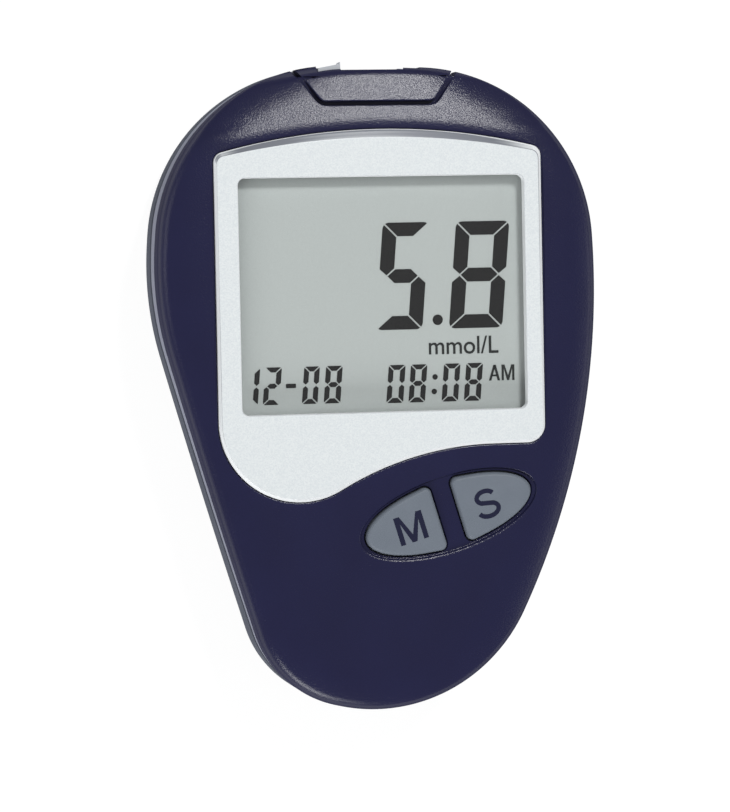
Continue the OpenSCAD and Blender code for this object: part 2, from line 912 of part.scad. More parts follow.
module back_cover() {
    color(back_grey)
        difference() {
            union() {
                difference() {
                    back_body(0);
                    back_hollow();
                }
                difference() {
                    union() {
                        bay_block(bay_wall, back_z + 0.5, bay_top + 1);
                        posts(boss_places, boss_r, back_z + floor_t / 2, boss_split_z);
                    }
                    slab(-5, boss_split_z, far);
                }
            }
            bay_block(0, -1, bay_top);
            translate([0, 0, -1])
                linear_extrude(1 + back_z + door_t + 0.2)
                    door_plan(door_gap);
            for (x = tab_places)
                translate([bay_x + x - tab_w / 2 - door_gap, door_end_y - 4, back_z + door_t - door_gap])
                    cube([tab_w + 2 * door_gap, 4 + tab_out + door_gap + 0.1, 3]);
            posts(boss_places, screw_r + 0.2, 0, far);
            posts(boss_places, screw_head_r + room, 0, screw_seat_z);
            posts(foot_places, foot_r + 0.1, 0, back_z + foot_sink);
            port_notch();
        }
}

// Battery door: a flat lid, hooked at its head end, with finger grooves at the tail end
module battery_door() {
    rib_w = 1;
    color(back_grey)
        difference() {
            union() {
                translate([0, 0, back_z])
                    linear_extrude(door_t)
                        door_plan(0);
                for (x = tab_places)
                    translate([bay_x + x - tab_w / 2, door_end_y - 2.4, back_z + door_t - eps])
                        cube([tab_w, 2.4 + tab_out, tab_t]);
                translate([bay_x - bay_gap / 2, bay_y + 3, back_z + door_t - eps])
                    cube([bay_gap, bay_l - 6, 0.8]);
            }
            for (i = [0:4])
                translate([bay_x - 5, door_y + 4.5 + i * 1.5, back_z])
                    rotate([0, 90, 0])
                        cylinder(r = 0.4, h = 10, $fn = 24);
        }
}

// Cells lie side by side, head to tail, between contact plates that stand off the ends of the bay.
cell_x = (cell_d + bay_gap) / 2;
plate_contact_t = 0.4;
contact_off = 0.6;

module cell(side) {
    button_r = 1.9;
    button_h = 1;
    r = cell_d / 2;
    low = bay_y + contact_off + (side < 0 ? spring_l : plate_contact_t);
    turn = side < 0 ? -90 : 90;
    start = side < 0 ? low : low + cell_l;
    translate([bay_x + side * cell_x, start, cell_z])
        rotate([turn, 0, 0])
            rotate_extrude()
                polygon([[0, 0], [r - 1, 0], [r - 0.6, 0.3], [r, 0.6], [r, cell_l - button_h - 0.8],
                    [r - 0.5, cell_l - button_h], [button_r, cell_l - button_h],
                    [button_r, cell_l - 0.3], [button_r - 0.3, cell_l], [0, cell_l]]);
}

module cell_left() {
    color(jacket)
        cell(-1);
}

module cell_right() {
    color(jacket)
        cell(1);
}

// Coil springs at the flat ends of the cells, each one tube along a tapering helix
wire_r = 0.3;
coil_turns = 4;
coil_steps = 10;
coil_sides = 6;

module coil(base_r, tip_r, length) {
    count = coil_turns * coil_steps;
    pitch_rise = length - 2 * wire_r;
    points = [for (k = [0:count], j = [0:coil_sides - 1])
        let (t = k / count, a = 360 * k / coil_steps, r = base_r + (tip_r - base_r) * t,
            b = 360 * j / coil_sides, out = r + wire_r * cos(b))
        [out * cos(a), out * sin(a), wire_r + pitch_rise * t + wire_r * sin(b)]];
    sides = [for (k = [0:count - 1], j = [0:coil_sides - 1])
        let (here = k * coil_sides, next = (k + 1) * coil_sides, n = (j + 1) % coil_sides)
        each [[here + j, next + j, next + n], [here + j, next + n, here + n]]];
    caps = [[for (j = [0:coil_sides - 1]) j],
        [for (j = [coil_sides - 1:-1:0]) count * coil_sides + j]];
    polyhedron(points, concat(sides, caps), convexity = 8);
}

module battery_springs() {
    length = spring_l - plate_contact_t - 0.1;
    color(steel) {
        translate([bay_x - cell_x, bay_y + contact_off + plate_contact_t, cell_z])
            rotate([-90, 0, 0])
                coil(3.6, 2.2, length);
        translate([bay_x + cell_x, bay_y + bay_l - contact_off - plate_contact_t, cell_z])
            rotate([90, 0, 0])
                coil(3.6, 2.2, length);
    }
}

module battery_contacts() {
    w = cell_d - 2;
    h = cell_d - 2.5;
    color(steel) {
        translate([bay_x - cell_x - w / 2, bay_y + contact_off, cell_z - h / 2])
            cube([2 * cell_x + w, plate_contact_t, h]);
        for (side = [-1, 1])
            translate([bay_x + side * cell_x - w / 2, bay_y + bay_l - contact_off - plate_contact_t, cell_z - h / 2])
                cube([w, plate_contact_t, h]);
    }
}

module case_screws() {
    color(steel)
        for (p = boss_places)
            translate([p[0], p[1], screw_seat_z - screw_head_h])
                difference() {
                    union() {
                        cylinder(r = screw_head_r, h = screw_head_h);
                        cylinder(r = screw_r, h = screw_head_h + screw_l);
                    }
                    for (turn = [0, 90])
                        rotate([0, 0, turn])
                            translate([-1.2, -0.25, -eps])
                                cube([2.4, 0.5, 0.8]);
                }
}

module rubber_feet() {
    color(black)
        for (p = foot_places)
            translate([p[0], p[1], 0])
                rotate_extrude()
                    polygon([[0, 0], [foot_r - 0.3, 0], [foot_r, 0.3], [foot_r, foot_proud + foot_sink],
                        [0, foot_proud + foot_sink]]);
}

front_cover();
side_band();
back_cover();
face_plate();
window_lens();
lcd_panel();
lcd_backing();
lcd_holder();
contact_strips();
circuit_board();
controller_chip();
board_parts();
crystal_can();
buzzer();
board_screws();
strip_socket();
strip_contacts();
strip_bezel();
port_cover();
mode_key();
set_key();
mode_switch();
set_switch();
mode_plunger();
set_plunger();
cell_left();
cell_right();
battery_springs();
battery_contacts();
battery_door();
case_screws();
rubber_feet();
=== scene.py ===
"""Looks of a blood glucose meter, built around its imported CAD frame."""
import math

import bmesh
import bpy
import numpy as np
from mathutils import Matrix, Vector


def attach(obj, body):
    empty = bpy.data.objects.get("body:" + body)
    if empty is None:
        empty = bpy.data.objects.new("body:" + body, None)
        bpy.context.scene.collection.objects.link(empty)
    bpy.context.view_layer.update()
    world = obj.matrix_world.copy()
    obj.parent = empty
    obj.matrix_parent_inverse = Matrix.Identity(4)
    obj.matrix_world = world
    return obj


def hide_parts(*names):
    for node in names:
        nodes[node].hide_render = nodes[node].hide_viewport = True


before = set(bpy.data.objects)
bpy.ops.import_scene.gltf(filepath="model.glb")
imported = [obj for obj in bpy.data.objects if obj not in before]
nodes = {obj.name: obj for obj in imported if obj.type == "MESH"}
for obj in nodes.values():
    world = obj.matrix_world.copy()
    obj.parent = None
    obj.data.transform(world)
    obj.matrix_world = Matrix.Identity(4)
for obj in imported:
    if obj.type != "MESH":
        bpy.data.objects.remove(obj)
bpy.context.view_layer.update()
scene = bpy.context.scene

MM = 0.001
QUARTER_TURN = math.pi / 2

# ---------------------------------------------------------------- sizes in mm, as in the CAD model

BODY_W, BODY_L, FACE_Z, RIM_Z = 63.5, 92, 19.8, 14.2
HEAD_Y, TAIL_Y, BACK_Z = 46, -46, 0.4


def moved(at, distance, degrees):
    a = math.radians(degrees)
    return at[0] + distance * math.cos(a), at[1] + distance * math.sin(a)


# outline: corner circles (x, y, radius) clockwise from the left shoulder, and the bows between them
SHOULDER_R, RIGHT_SHOULDER_R, TAIL_R, LEFT_TAIL_R, WAIST_R, TOUCH = 25.6, 25.5, 24, 15.2, 46.6, 0.04
SHOULDER = (SHOULDER_R - BODY_W / 2 + 0.17, HEAD_Y - SHOULDER_R - 0.14)
TAIL = (-1, TAIL_Y + TAIL_R)
CORNERS = np.array([
    [*SHOULDER, SHOULDER_R],
    [BODY_W / 2 - RIGHT_SHOULDER_R - 0.18, HEAD_Y - RIGHT_SHOULDER_R - 0.5, RIGHT_SHOULDER_R],
    [*TAIL, TAIL_R],
    [*moved(TAIL, TAIL_R - LEFT_TAIL_R + TOUCH, 251), LEFT_TAIL_R],
    [*moved(SHOULDER, WAIST_R - SHOULDER_R + TOUCH, -8), WAIST_R]])
BOWS = [220, 107, 40, 1500, 90]
CORNER_STEPS, BOW_STEPS = [64, 60, 48, 40, 24], [8, 32, 4, 16, 4]

# rim and crown of the front cover
RIM_R, CROWN_R, CROWN_ANGLE = 2.0, 16.0, math.radians(18)
RIM_TURN = QUARTER_TURN - CROWN_ANGLE
CROWN_FROM = RIM_R * (1 - math.cos(RIM_TURN))
CROWN_IN = CROWN_FROM + CROWN_R * math.sin(CROWN_ANGLE)
RIM_TOP = FACE_Z - CROWN_R * (1 - math.cos(CROWN_ANGLE)) - RIM_R * math.sin(RIM_TURN)
FLAT_IN = 10.0      # the face is flat from this inset on
EDGE_R = 0.14       # rounding of the mouldings' edges along the split line
EDGE_STEPS = ((1, 0), (0.3, 0.3), (0, 1))   # that rounding as shares (inwards, along the wall)

# face plate
PLATE_BACK = 9.3
PLATE_Y = HEAD_Y - PLATE_BACK
PLATE_LEFT, PLATE_RIGHT, PLATE_BOW, PLATE_CREST = -23.8, 23.4, 92, 116
PLATE_T, PLATE_TOP = 1.4, 20.4
PLATE_Z = PLATE_TOP - PLATE_T
PLATE_CORNER_R, PLATE_LOW_CORNER_R = 1.5, 2.6
PLATE_TOP_BEVEL, PLATE_BEVEL = 1.25, 0.4
LOBE_R, LOBE_DROP, SWEEP_R = 11.6, 7.5, 45
PLATE_LOW_Y = PLATE_Y - 45

# ramp at the strip end, concentric with the plate's top edge, and the brow where it turns down
RAMP_CENTRE = np.array([0.7, PLATE_Y - PLATE_BOW])
RAMP_ANGLE = math.radians(14)
RAMP_FROM, RAMP_TO, RAMP_BLEND = PLATE_BOW + 0.45, PLATE_BOW + PLATE_BACK - 1.67, 6.0
RAMP_BLEND_W = RAMP_BLEND * math.sin(RAMP_ANGLE)
RAMP_BLEND_Z = FACE_Z - RAMP_BLEND * (1 - math.cos(RAMP_ANGLE))
RAMP_END_Z = RAMP_BLEND_Z - (RAMP_TO - RAMP_FROM - RAMP_BLEND_W) * math.tan(RAMP_ANGLE)
BROW_R = 2.2
BROW_AT = (RAMP_TO - BROW_R * math.sin(RAMP_ANGLE), RAMP_END_Z - BROW_R * math.cos(RAMP_ANGLE))
EASE, EASE_IN, EASE_FROM, EASE_OVER, EASE_START = 0.8, 5.0, 6, 9, 3
CREASE, CREASE_FROM, CREASE_OVER = 0.6, 0.5, 2.5

# window, keys and the shallow dish round the keys
WINDOW_AT, WINDOW_W, WINDOW_H, WINDOW_R = (0.14, HEAD_Y - 32.68), 41.3, 33.35, 1
KEYS_AT, KEYS_A, KEYS_B, KEYS_TILT = (9.1, HEAD_Y - 64.15), 12.5, 4.7, math.radians(16.5)
KEYS_TURN = np.array([[math.cos(KEYS_TILT), math.sin(KEYS_TILT)],
                      [-math.sin(KEYS_TILT), math.cos(KEYS_TILT)]])
BRIDGE_W, KEY_CORNER_R, KEY_TOP, KEY_EDGE, KEY_CROWN = 3.15, 0.9, 20.3, 0.55, 0.1
FLANGE_TOP, FLANGE_T, FLANGE_W = 18.08, 0.7, 0.8
DISH_DEPTH, DISH_A, DISH_B, DISH_FOOT_R = 0.45, KEYS_A + 0.9, KEYS_B + 0.65, 0.22
LIP_W, LIP_H = 0.5, 0.16

# strip slot, its bezel and the port cover
PORT_X, SLOT_W, SLOT_H, SLOT_Z, SLOT_BACK = -0.4, 9.05, 0.8, 16.0, 0.8
SLOT_START, SLOT_END = PORT_X - SLOT_W / 2, PORT_X + SLOT_W / 2
BEZEL_X, BEZEL_W, BEZEL_Z, BEZEL_H = -0.8, 14.6, 14.8, 2.5
BEZEL_LEFT, BEZEL_RIGHT = BEZEL_X - BEZEL_W / 2, BEZEL_X + BEZEL_W / 2
BEZEL_IN_Y, BEZEL_OUT_Y = HEAD_Y - 2.78, HEAD_Y + 0.35
COVER_X, COVER_W, COVER_L, COVER_Z, COVER_EDGE = 0.1, 16.2, 5.3, 17.8, 0.2
COVER_FLARE, COVER_CORNER_R, COVER_WALL = math.radians(36), 1.4, 1.3
COVER_LEAN = math.tan((QUARTER_TURN - COVER_FLARE) / 2)
GROOVE_W, SHELF_W, COVER_SEAT = 0.6, 1.1, 0.2
LEDGE_W, LEDGE_T, ROOM = 1.0, 0.5, 0.3
SOCKET_HALF_W = 6.225

# split line, side band, back cover, battery bay and door
SPLIT_HEAD, SPLIT_TAIL, SPLIT_GAP = 8.9, 11.6, 0.35
BAND_SET_BACK, BAND_LIP_IN, BAND_IN, BAND_LIP_H = 0.15, 2.0, 3.0, 1.2
FRONT_WALL, FRONT_ROOF, FRONT_CEILING = 1.6, 1.3, 18.2
BELLY_R, BACK_WALL, FLOOR_T = 6.5, 1.8, 0.8
BAY_X, BAY_W, BAY_Y, BAY_L, BAY_TOP = -0.8, 22.2, TAIL_Y + 14.2, 51.1, 12.9
BAY_LEFT, BAY_RIGHT, BAY_END_Y, BAY_WALL, BAY_ROOF = (
    BAY_X - BAY_W / 2, BAY_X + BAY_W / 2, BAY_Y + BAY_L, 1.2, 0.9)
DOOR_W, DOOR_Y, DOOR_END_Y, DOOR_T, DOOR_R, DOOR_EDGE = 24.4, -32.9, 20.4, 1.5, 2.0, 0.18
DOOR_AT, DOOR_L, DOOR_ROOM = (BAY_X, (DOOR_Y + DOOR_END_Y) / 2), DOOR_END_Y - DOOR_Y, 0.6
HOOKS_X = (-6, 6)

# fixings, feet and cells
SCREWS = [(-25.55, 14), (25.55, 15), (17.4, -28), (-16.9, -22)]
BOARD_SCREWS = [(-24.6, 23), (-18.5, -8.1), (23.5, -12)]
BOSS_R, POST_R, BOARD_TOP, POST_TOP = 2.4, 1.7, 15.6, 19.4
SCREW_SEAT, SCREW_HEAD_R, SCREW_R = 6.0, 1.9, 1.0
FEET = [(-17.75, 29), (17.75, 29), (-19.75, -10), (19.75, -12)]
FOOT_R, FOOT_H = 2.6, 0.8
CELL_D, CELL_L, CELL_Z = 10.5, 44.5, 7.35
CELL_X = (CELL_D + 0.4) / 2


# ---------------------------------------------------------------- plans and surfaces

def arc(centre, r, start, end, steps):
    a = np.linspace(start, end, steps + 1)
    return np.c_[centre[0] + r * np.cos(a), centre[1] + r * np.sin(a)]


def heading(a, b):
    return math.atan2(b[1] - a[1], b[0] - a[0])


def crossing(p, rp, q, rq):
    """The point at a distance rp from p and rq from q, to the right of the way from p to q."""
    d = np.hypot(*(q - p))
    along = (rp * rp - rq * rq + d * d) / (2 * d)
    u = (q - p) / d
    return p + along * u + math.sqrt(rp * rp - along * along) * np.array([u[1], -u[0]])


def outline_arcs():
    """The outline's arcs as (centre, radius, start angle, clockwise sweep, steps)."""
    centre = CORNERS[:, :2]
    after = [(i + 1) % len(CORNERS) for i in range(len(CORNERS))]
    bow_at = [crossing(centre[i], BOWS[i] - CORNERS[i, 2], centre[j], BOWS[i] - CORNERS[j, 2])
              for i, j in enumerate(after)]
    arcs = []
    for i, j in enumerate(after):
        for c, r, a, b, steps in (
                (centre[i], CORNERS[i, 2], heading(bow_at[i - 1], centre[i]),
                 heading(bow_at[i], centre[i]), CORNER_STEPS[i]),
                (bow_at[i], BOWS[i], heading(bow_at[i], centre[i]),
                 heading(bow_at[i], centre[j]), BOW_STEPS[i])):
            arcs.append((c, r, a, (a - b) % (2 * math.pi), steps))
    return arcs


ARCS = outline_arcs()


def contour(inset):
    """The outline at an inset, clockwise."""
    points = []
    for c, r, start, sweep, steps in ARCS:
        a = start - sweep * np.arange(steps) / steps
        points.append(np.c_[c[0] + (r - inset) * np.cos(a), c[1] + (r - inset) * np.sin(a)])
    return np.vstack(points)


def inset_of(p):
    """How far inside the outline each point lies."""
    best = np.full(len(p), 1e9)
    for c, r, start, sweep, _ in ARCS:
        d = p - c
        turn = (start - np.arctan2(d[:, 1], d[:, 0])) % (2 * math.pi)
        gap = r - np.hypot(d[:, 0], d[:, 1])
        inside = turn <= sweep + 1e-6
        best = np.where(inside & (np.abs(gap) < np.abs(best)), gap, best)
    return best


def face_height(p, inset=None):
    """Height of the front cover's outside: rounded rim, crown, flat face and the ramp."""
    d = np.clip(inset_of(p) if inset is None else inset, 0, None)
    rim = RIM_TOP + np.sqrt(np.clip(RIM_R ** 2 - (RIM_R - np.minimum(d, RIM_R)) ** 2, 0, None))
    crown = FACE_Z - CROWN_R + np.sqrt(CROWN_R ** 2 - (CROWN_IN - np.clip(d, 0, CROWN_IN)) ** 2)
    edge = np.where(d < CROWN_FROM, rim, crown)
    r = np.hypot(*(p - RAMP_CENTRE).T)
    blend = FACE_Z - RAMP_BLEND + np.sqrt(
        np.clip(RAMP_BLEND ** 2 - (r - RAMP_FROM) ** 2, 0, None))
    slope = RAMP_BLEND_Z - (r - RAMP_FROM - RAMP_BLEND_W) * math.tan(RAMP_ANGLE)
    brow = BROW_AT[1] + np.sqrt(BROW_R ** 2 - np.clip(r - BROW_AT[0], 0, BROW_R * 0.98) ** 2)
    ramp = np.where(r < RAMP_FROM + RAMP_BLEND_W, blend, np.where(r < RAMP_TO, slope, brow))
    ramp = np.where(r < RAMP_FROM, FACE_Z, ramp)
    # towards its two ends the ramp rolls over gently into the rim
    side = (np.clip((np.abs(p[:, 0] - RAMP_CENTRE[0]) - EASE_FROM) / EASE_OVER, 0, 1)
            * np.clip((r - RAMP_FROM) / EASE_START, 0, 1))
    ramp = ramp - EASE * side ** 2 * (3 - 2 * side) * np.clip(1 - d / EASE_IN, 0, 1) ** 2
    # the crease where ramp and crown meet is softened
    k = CREASE * np.clip((r - RAMP_FROM - CREASE_FROM) / CREASE_OVER, 0, 1) + 1e-6
    h = np.clip(0.5 + 0.5 * (ramp - edge) / k, 0, 1)
    return ramp + (edge - ramp) * h - k * h * (1 - h)


def back_height(p):
    """Height of the back cover's outside: flat bottom with a rounded edge."""
    d = np.clip(inset_of(p), 0, BELLY_R)
    return BACK_Z + BELLY_R - np.sqrt(BELLY_R ** 2 - (BELLY_R - d) ** 2)


def split_height(p, lift=0):
    """Height of the sloping line where the back cover ends."""
    return SPLIT_HEAD + lift + (HEAD_Y - p[:, 1]) * (SPLIT_TAIL - SPLIT_HEAD) / BODY_L


def level(z):
    return lambda p: np.full(len(p), float(z))


def quarter(steps, start=0.0):
    """A quarter round as pairs (1 - cos, 1 - sin): how far out and how far down it still is."""
    for t in np.linspace(start, QUARTER_TURN, steps):
        yield 1 - math.cos(t), 1 - math.sin(t)


def rounded_rect(w, h, r, at=(0, 0), steps=8):
    x, y = w / 2 - r, h / 2 - r
    centres = ((x, y), (-x, y), (-x, -y), (x, -y))
    return np.vstack([arc(c, r, i / 2 * math.pi, (i + 1) / 2 * math.pi, steps)
                      for i, c in enumerate(centres)]) + np.array(at)


def growing_rect(w, h, r, at):
    """A rounded rectangle as a plan that a pocket can widen."""
    return lambda g: rounded_rect(w + 2 * g, h + 2 * g, r + g, at)


def round_plan(at, r, steps=40):
    return arc(at, r, 0, 2 * math.pi, steps)[:-1]


def plate_plan(grow, bow=PLATE_BOW, lower=0.0):
    """Outline of the face plate: bowed top, lobe at the lower left, hollow sweep to the right."""
    lobe = np.array([PLATE_LEFT + LOBE_R, PLATE_LOW_Y - LOBE_DROP + LOBE_R])
    sweep_y = PLATE_LOW_Y - SWEEP_R
    reach = math.sqrt((SWEEP_R + LOBE_R) ** 2 - (sweep_y - lobe[1]) ** 2)
    sweep = np.array([lobe[0] + reach, sweep_y])
    top = np.array([RAMP_CENTRE[0], PLATE_Y - lower - bow])

    def corner(x):
        return np.array([x, top[1] + math.sqrt((bow - PLATE_CORNER_R) ** 2 - (x - top[0]) ** 2)])
    left, right = corner(PLATE_LEFT + PLATE_CORNER_R), corner(PLATE_RIGHT - PLATE_CORNER_R)
    low = np.array([PLATE_RIGHT - PLATE_LOW_CORNER_R, PLATE_LOW_Y + PLATE_LOW_CORNER_R])
    turn = heading(sweep, lobe)
    return np.vstack([
        arc(left, PLATE_CORNER_R + grow, math.pi, heading(top, left), 12),
        arc(top, bow + grow, heading(top, left), heading(top, right), 60),
        arc(right, PLATE_CORNER_R + grow, heading(top, right), 0, 12),
        arc(low, PLATE_LOW_CORNER_R + grow, 0, -QUARTER_TURN, 14),
        arc(sweep, SWEEP_R - grow, QUARTER_TURN, turn, 40),
        arc(lobe, LOBE_R + grow, turn - math.pi, -math.pi, 50)])


def key_plan(side, grow):
    """Half of the tilted oval, cut at the bridge, with rounded corners. Counter-clockwise."""
    t = np.linspace(0, 2 * math.pi, 1440, endpoint=False)
    oval = np.c_[KEYS_A * np.cos(t), KEYS_B * np.sin(t)]
    normal = np.c_[np.cos(t) / KEYS_A, np.sin(t) / KEYS_B]
    normal /= np.linalg.norm(normal, axis=1)[:, None]
    core = oval - normal * KEY_CORNER_R
    limit = BRIDGE_W / 2 + KEY_CORNER_R
    core = core[core[:, 0] > limit]
    edge = KEYS_B * math.sqrt(1 - (BRIDGE_W / 2 / KEYS_A) ** 2) - KEY_CORNER_R
    core = np.vstack([core, [[limit, edge], [limit, -edge]]])
    a = np.linspace(0, 2 * math.pi, 160, endpoint=False)
    out = np.c_[np.cos(a), np.sin(a)]
    points = core[np.argmax(out @ core.T, axis=1)] + (KEY_CORNER_R + grow) * out
    if side < 0:
        points = -points
    return points @ KEYS_TURN + np.array(KEYS_AT)


def oval_plan(grow):
    """The dish's oval, round both keys."""
    t = np.linspace(0, 2 * math.pi, 120, endpoint=False)
    oval = np.c_[(DISH_A + grow) * np.cos(t), (DISH_B + grow) * np.sin(t)]
    return oval @ KEYS_TURN + np.array(KEYS_AT)


def cover_plan(grow):
    """Trapezium of the port cover, open towards the strip end, with rounded inner corners."""
    half = COVER_W / 2 + grow * COVER_LEAN
    y0 = HEAD_Y - COVER_L - grow
    length = COVER_L + grow + 4
    lean = length * math.tan(COVER_FLARE)
    r = max(0.2, COVER_CORNER_R + grow)
    c = (half - r * COVER_LEAN, y0 + r)
    side = np.vstack([[[half + lean, y0 + length]],
                      [[half + lean * f, y0 + length * f] for f in (0.75, 0.55, 0.4, 0.3, 0.2)],
                      arc(c, r, -COVER_FLARE, -QUARTER_TURN, 8)])
    floor = [[x * (half - r), y0] for x in (0.66, 0.33, 0)]
    mirrored = np.vstack([side, floor[:2]])[::-1] * [-1, 1]
    return np.vstack([side, floor, mirrored]) + [COVER_X, 0]


# ---------------------------------------------------------------- mesh making

PROUD = 0.004       # a cutter's mouth stands this far above the surface, so that it cuts clean


def put(name, mesh):
    piece = bpy.data.objects.new(name, mesh)
    scene.collection.objects.link(piece)
    return piece


def recalculated(mesh):
    """Merges doubles and points the faces outwards."""
    bm = bmesh.new()
    bm.from_mesh(mesh)
    bmesh.ops.remove_doubles(bm, verts=bm.verts, dist=1e-7)
    bmesh.ops.recalc_face_normals(bm, faces=bm.faces)
    bm.to_mesh(mesh)
    bm.free()
    return mesh


def ring(plan, z):
    """A plan at a height, which is a number or one height per point."""
    return np.c_[plan, np.broadcast_to(z, len(plan))]


def loft(name, rings, closed=False):
    """A solid through rings of equal point count: capped at both ends, or closed into a loop."""
    n, levels = len(rings[0]), len(rings)
    i = np.arange(n)
    j = (i + 1) % n
    faces = []
    for k in range(levels if closed else levels - 1):
        a, b = k * n, (k + 1) % levels * n
        faces += np.c_[a + i, a + j, b + j, b + i].tolist()
    if not closed:
        faces += [i[::-1].tolist(), ((levels - 1) * n + i).tolist()]
    mesh = bpy.data.meshes.new(name)
    mesh.from_pydata((np.vstack(rings) * MM).tolist(), [], faces)
    return put(name, recalculated(mesh))


def prism(name, plan, low, high):
    return loft(name, [ring(plan, low), ring(plan, high)])


def box_between(name, low, high):
    (x0, y0, z0), (x1, y1, z1) = low, high
    return prism(name, np.array([[x0, y0], [x1, y0], [x1, y1], [x0, y1]]), z0, z1)


def pocket(name, plan, floor_z, surface, edge_r, reach=3.0, up=1, grow=0.0, steps=5, drop=None):
    """A cutter whose mouth flares into a rounded edge, edge_r wide and drop high."""
    drop = drop or edge_r
    rings = [ring(plan(grow), floor_z)]
    for out, down in quarter(steps + 1):
        p = plan(grow + edge_r * out)
        rings.append(ring(p, surface(p) + up * (PROUD - drop * down)))
    p = plan(grow + edge_r)
    rings.append(ring(p, surface(p) + up * reach))
    return loft(name, rings)



def baked(piece):
    """Applies the piece's modifiers."""
    graph = bpy.context.evaluated_depsgraph_get()
    graph.update()
    mesh = bpy.data.meshes.new_from_object(
        piece.evaluated_get(graph), preserve_all_data_layers=True, depsgraph=graph)
    piece.modifiers.clear()
    old, piece.data = piece.data, mesh
    bpy.data.meshes.remove(old)
    return piece


def carve(piece, cutters, operation="DIFFERENCE"):
    """Cuts, joins or intersects a piece with each cutter in turn, and removes the cutters."""
    for cutter in cutters:
        modifier = piece.modifiers.new("carve", "BOOLEAN")
        modifier.operation = operation
        modifier.solver = "MANIFOLD"
        modifier.object = cutter
        baked(piece)
        bpy.data.objects.remove(cutter)
    return piece


def all_smooth(mesh):
    mesh.polygons.foreach_set("use_smooth", np.ones(len(mesh.polygons), bool))


def smooth(piece, angle=32):
    """Smooth shading with sharp edges past an angle, weighted so that large faces stay flat."""
    all_smooth(piece.data)
    piece.data.set_sharp_from_angle(angle=math.radians(angle))
    modifier = piece.modifiers.new("weighted", "WEIGHTED_NORMAL")
    modifier.keep_sharp = True
    modifier.weight = 50
    return baked(piece)


def rounded(piece, width):
    """Bevels the piece's sharp edges by a width in mm."""
    modifier = piece.modifiers.new("bevel", "BEVEL")
    modifier.width = width * MM
    modifier.segments = 2
    modifier.limit_method = "ANGLE"
    modifier.angle_limit = math.radians(30)
    modifier.harden_normals = False
    return baked(piece)


def lathe(name, profile, steps=48, at=(0, 0, 0), axis="Z"):
    """A turned solid from a profile of (radius, height), both ends on the axis."""
    a = np.linspace(0, 2 * math.pi, steps, endpoint=False)
    rings = []
    for r, h in profile:
        r = max(r, 1e-4)
        c, s, flat = r * np.cos(a), r * np.sin(a), np.full(steps, float(h))
        rings.append((np.c_[c, s, flat] if axis == "Z" else np.c_[c, flat, s]) + np.array(at))
    return loft(name, rings)


# ---------------------------------------------------------------- materials

def linear(code):
    """An sRGB hex colour as linear RGBA."""
    value = [int(code[i:i + 2], 16) / 255 for i in (1, 3, 5)]
    return (*(v / 12.92 if v <= 0.04045 else ((v + 0.055) / 1.055) ** 2.4 for v in value), 1.0)


def add(tree, kind, inputs=(), **settings):
    """Adds a node with its settings. An input is a value, or the output socket that feeds it."""
    made = tree.nodes.new(kind)
    for key, value in settings.items():
        setattr(made, key, value)
    for key, value in dict(inputs).items():
        if isinstance(value, bpy.types.NodeSocket):
            tree.links.new(value, made.inputs[key])
        else:
            made.inputs[key].default_value = value
    return made


def new_material(name):
    """An empty material, its tree, and the piece's own coordinates in it."""
    material = bpy.data.materials.new(name)
    material.use_nodes = True
    tree = material.node_tree
    tree.nodes.clear()
    return material, tree, add(tree, "ShaderNodeTexCoord").outputs["Object"]


def moulded_plastic(name, dark, light, grain_mm, depth_mm, roughness, strength=1.0, specular=0.5,
                    mottle_mm=9.0):
    """Moulded ABS: colour all through, with the fine pits of a spark-eroded mould, which sparkle
    where a lamp mirrors in them and look dull at a flat angle."""
    material, tree, place = new_material(name)
    facing = add(tree, "ShaderNodeLayerWeight", {"Blend": 0.5}).outputs["Facing"]
    gloss = add(tree, "ShaderNodeMapRange", {
        "Value": facing, "From Min": 0.3, "From Max": 0.7, "To Min": roughness, "To Max": 0.95})
    mottle = add(tree, "ShaderNodeTexNoise", {
        "Vector": place, "Scale": 1 / (mottle_mm * MM), "Detail": 3})
    colour = add(tree, "ShaderNodeMix", {
        0: mottle.outputs["Fac"], 6: linear(dark), 7: linear(light)}, data_type="RGBA")
    pits = add(tree, "ShaderNodeTexNoise", {
        "Vector": place, "Scale": 1 / (grain_mm * MM), "Detail": 3, "Roughness": 0.6})
    bump = add(tree, "ShaderNodeBump", {
        "Strength": strength, "Distance": depth_mm * MM, "Height": pits.outputs["Fac"]})
    shader = add(tree, "ShaderNodeBsdfPrincipled", {
        "Base Color": colour.outputs[2], "Roughness": gloss.outputs["Result"], "IOR": 1.5,
        "Specular IOR Level": specular, "Normal": bump.outputs["Normal"]})
    add(tree, "ShaderNodeOutputMaterial", {"Surface": shader.outputs["BSDF"]})
    return material


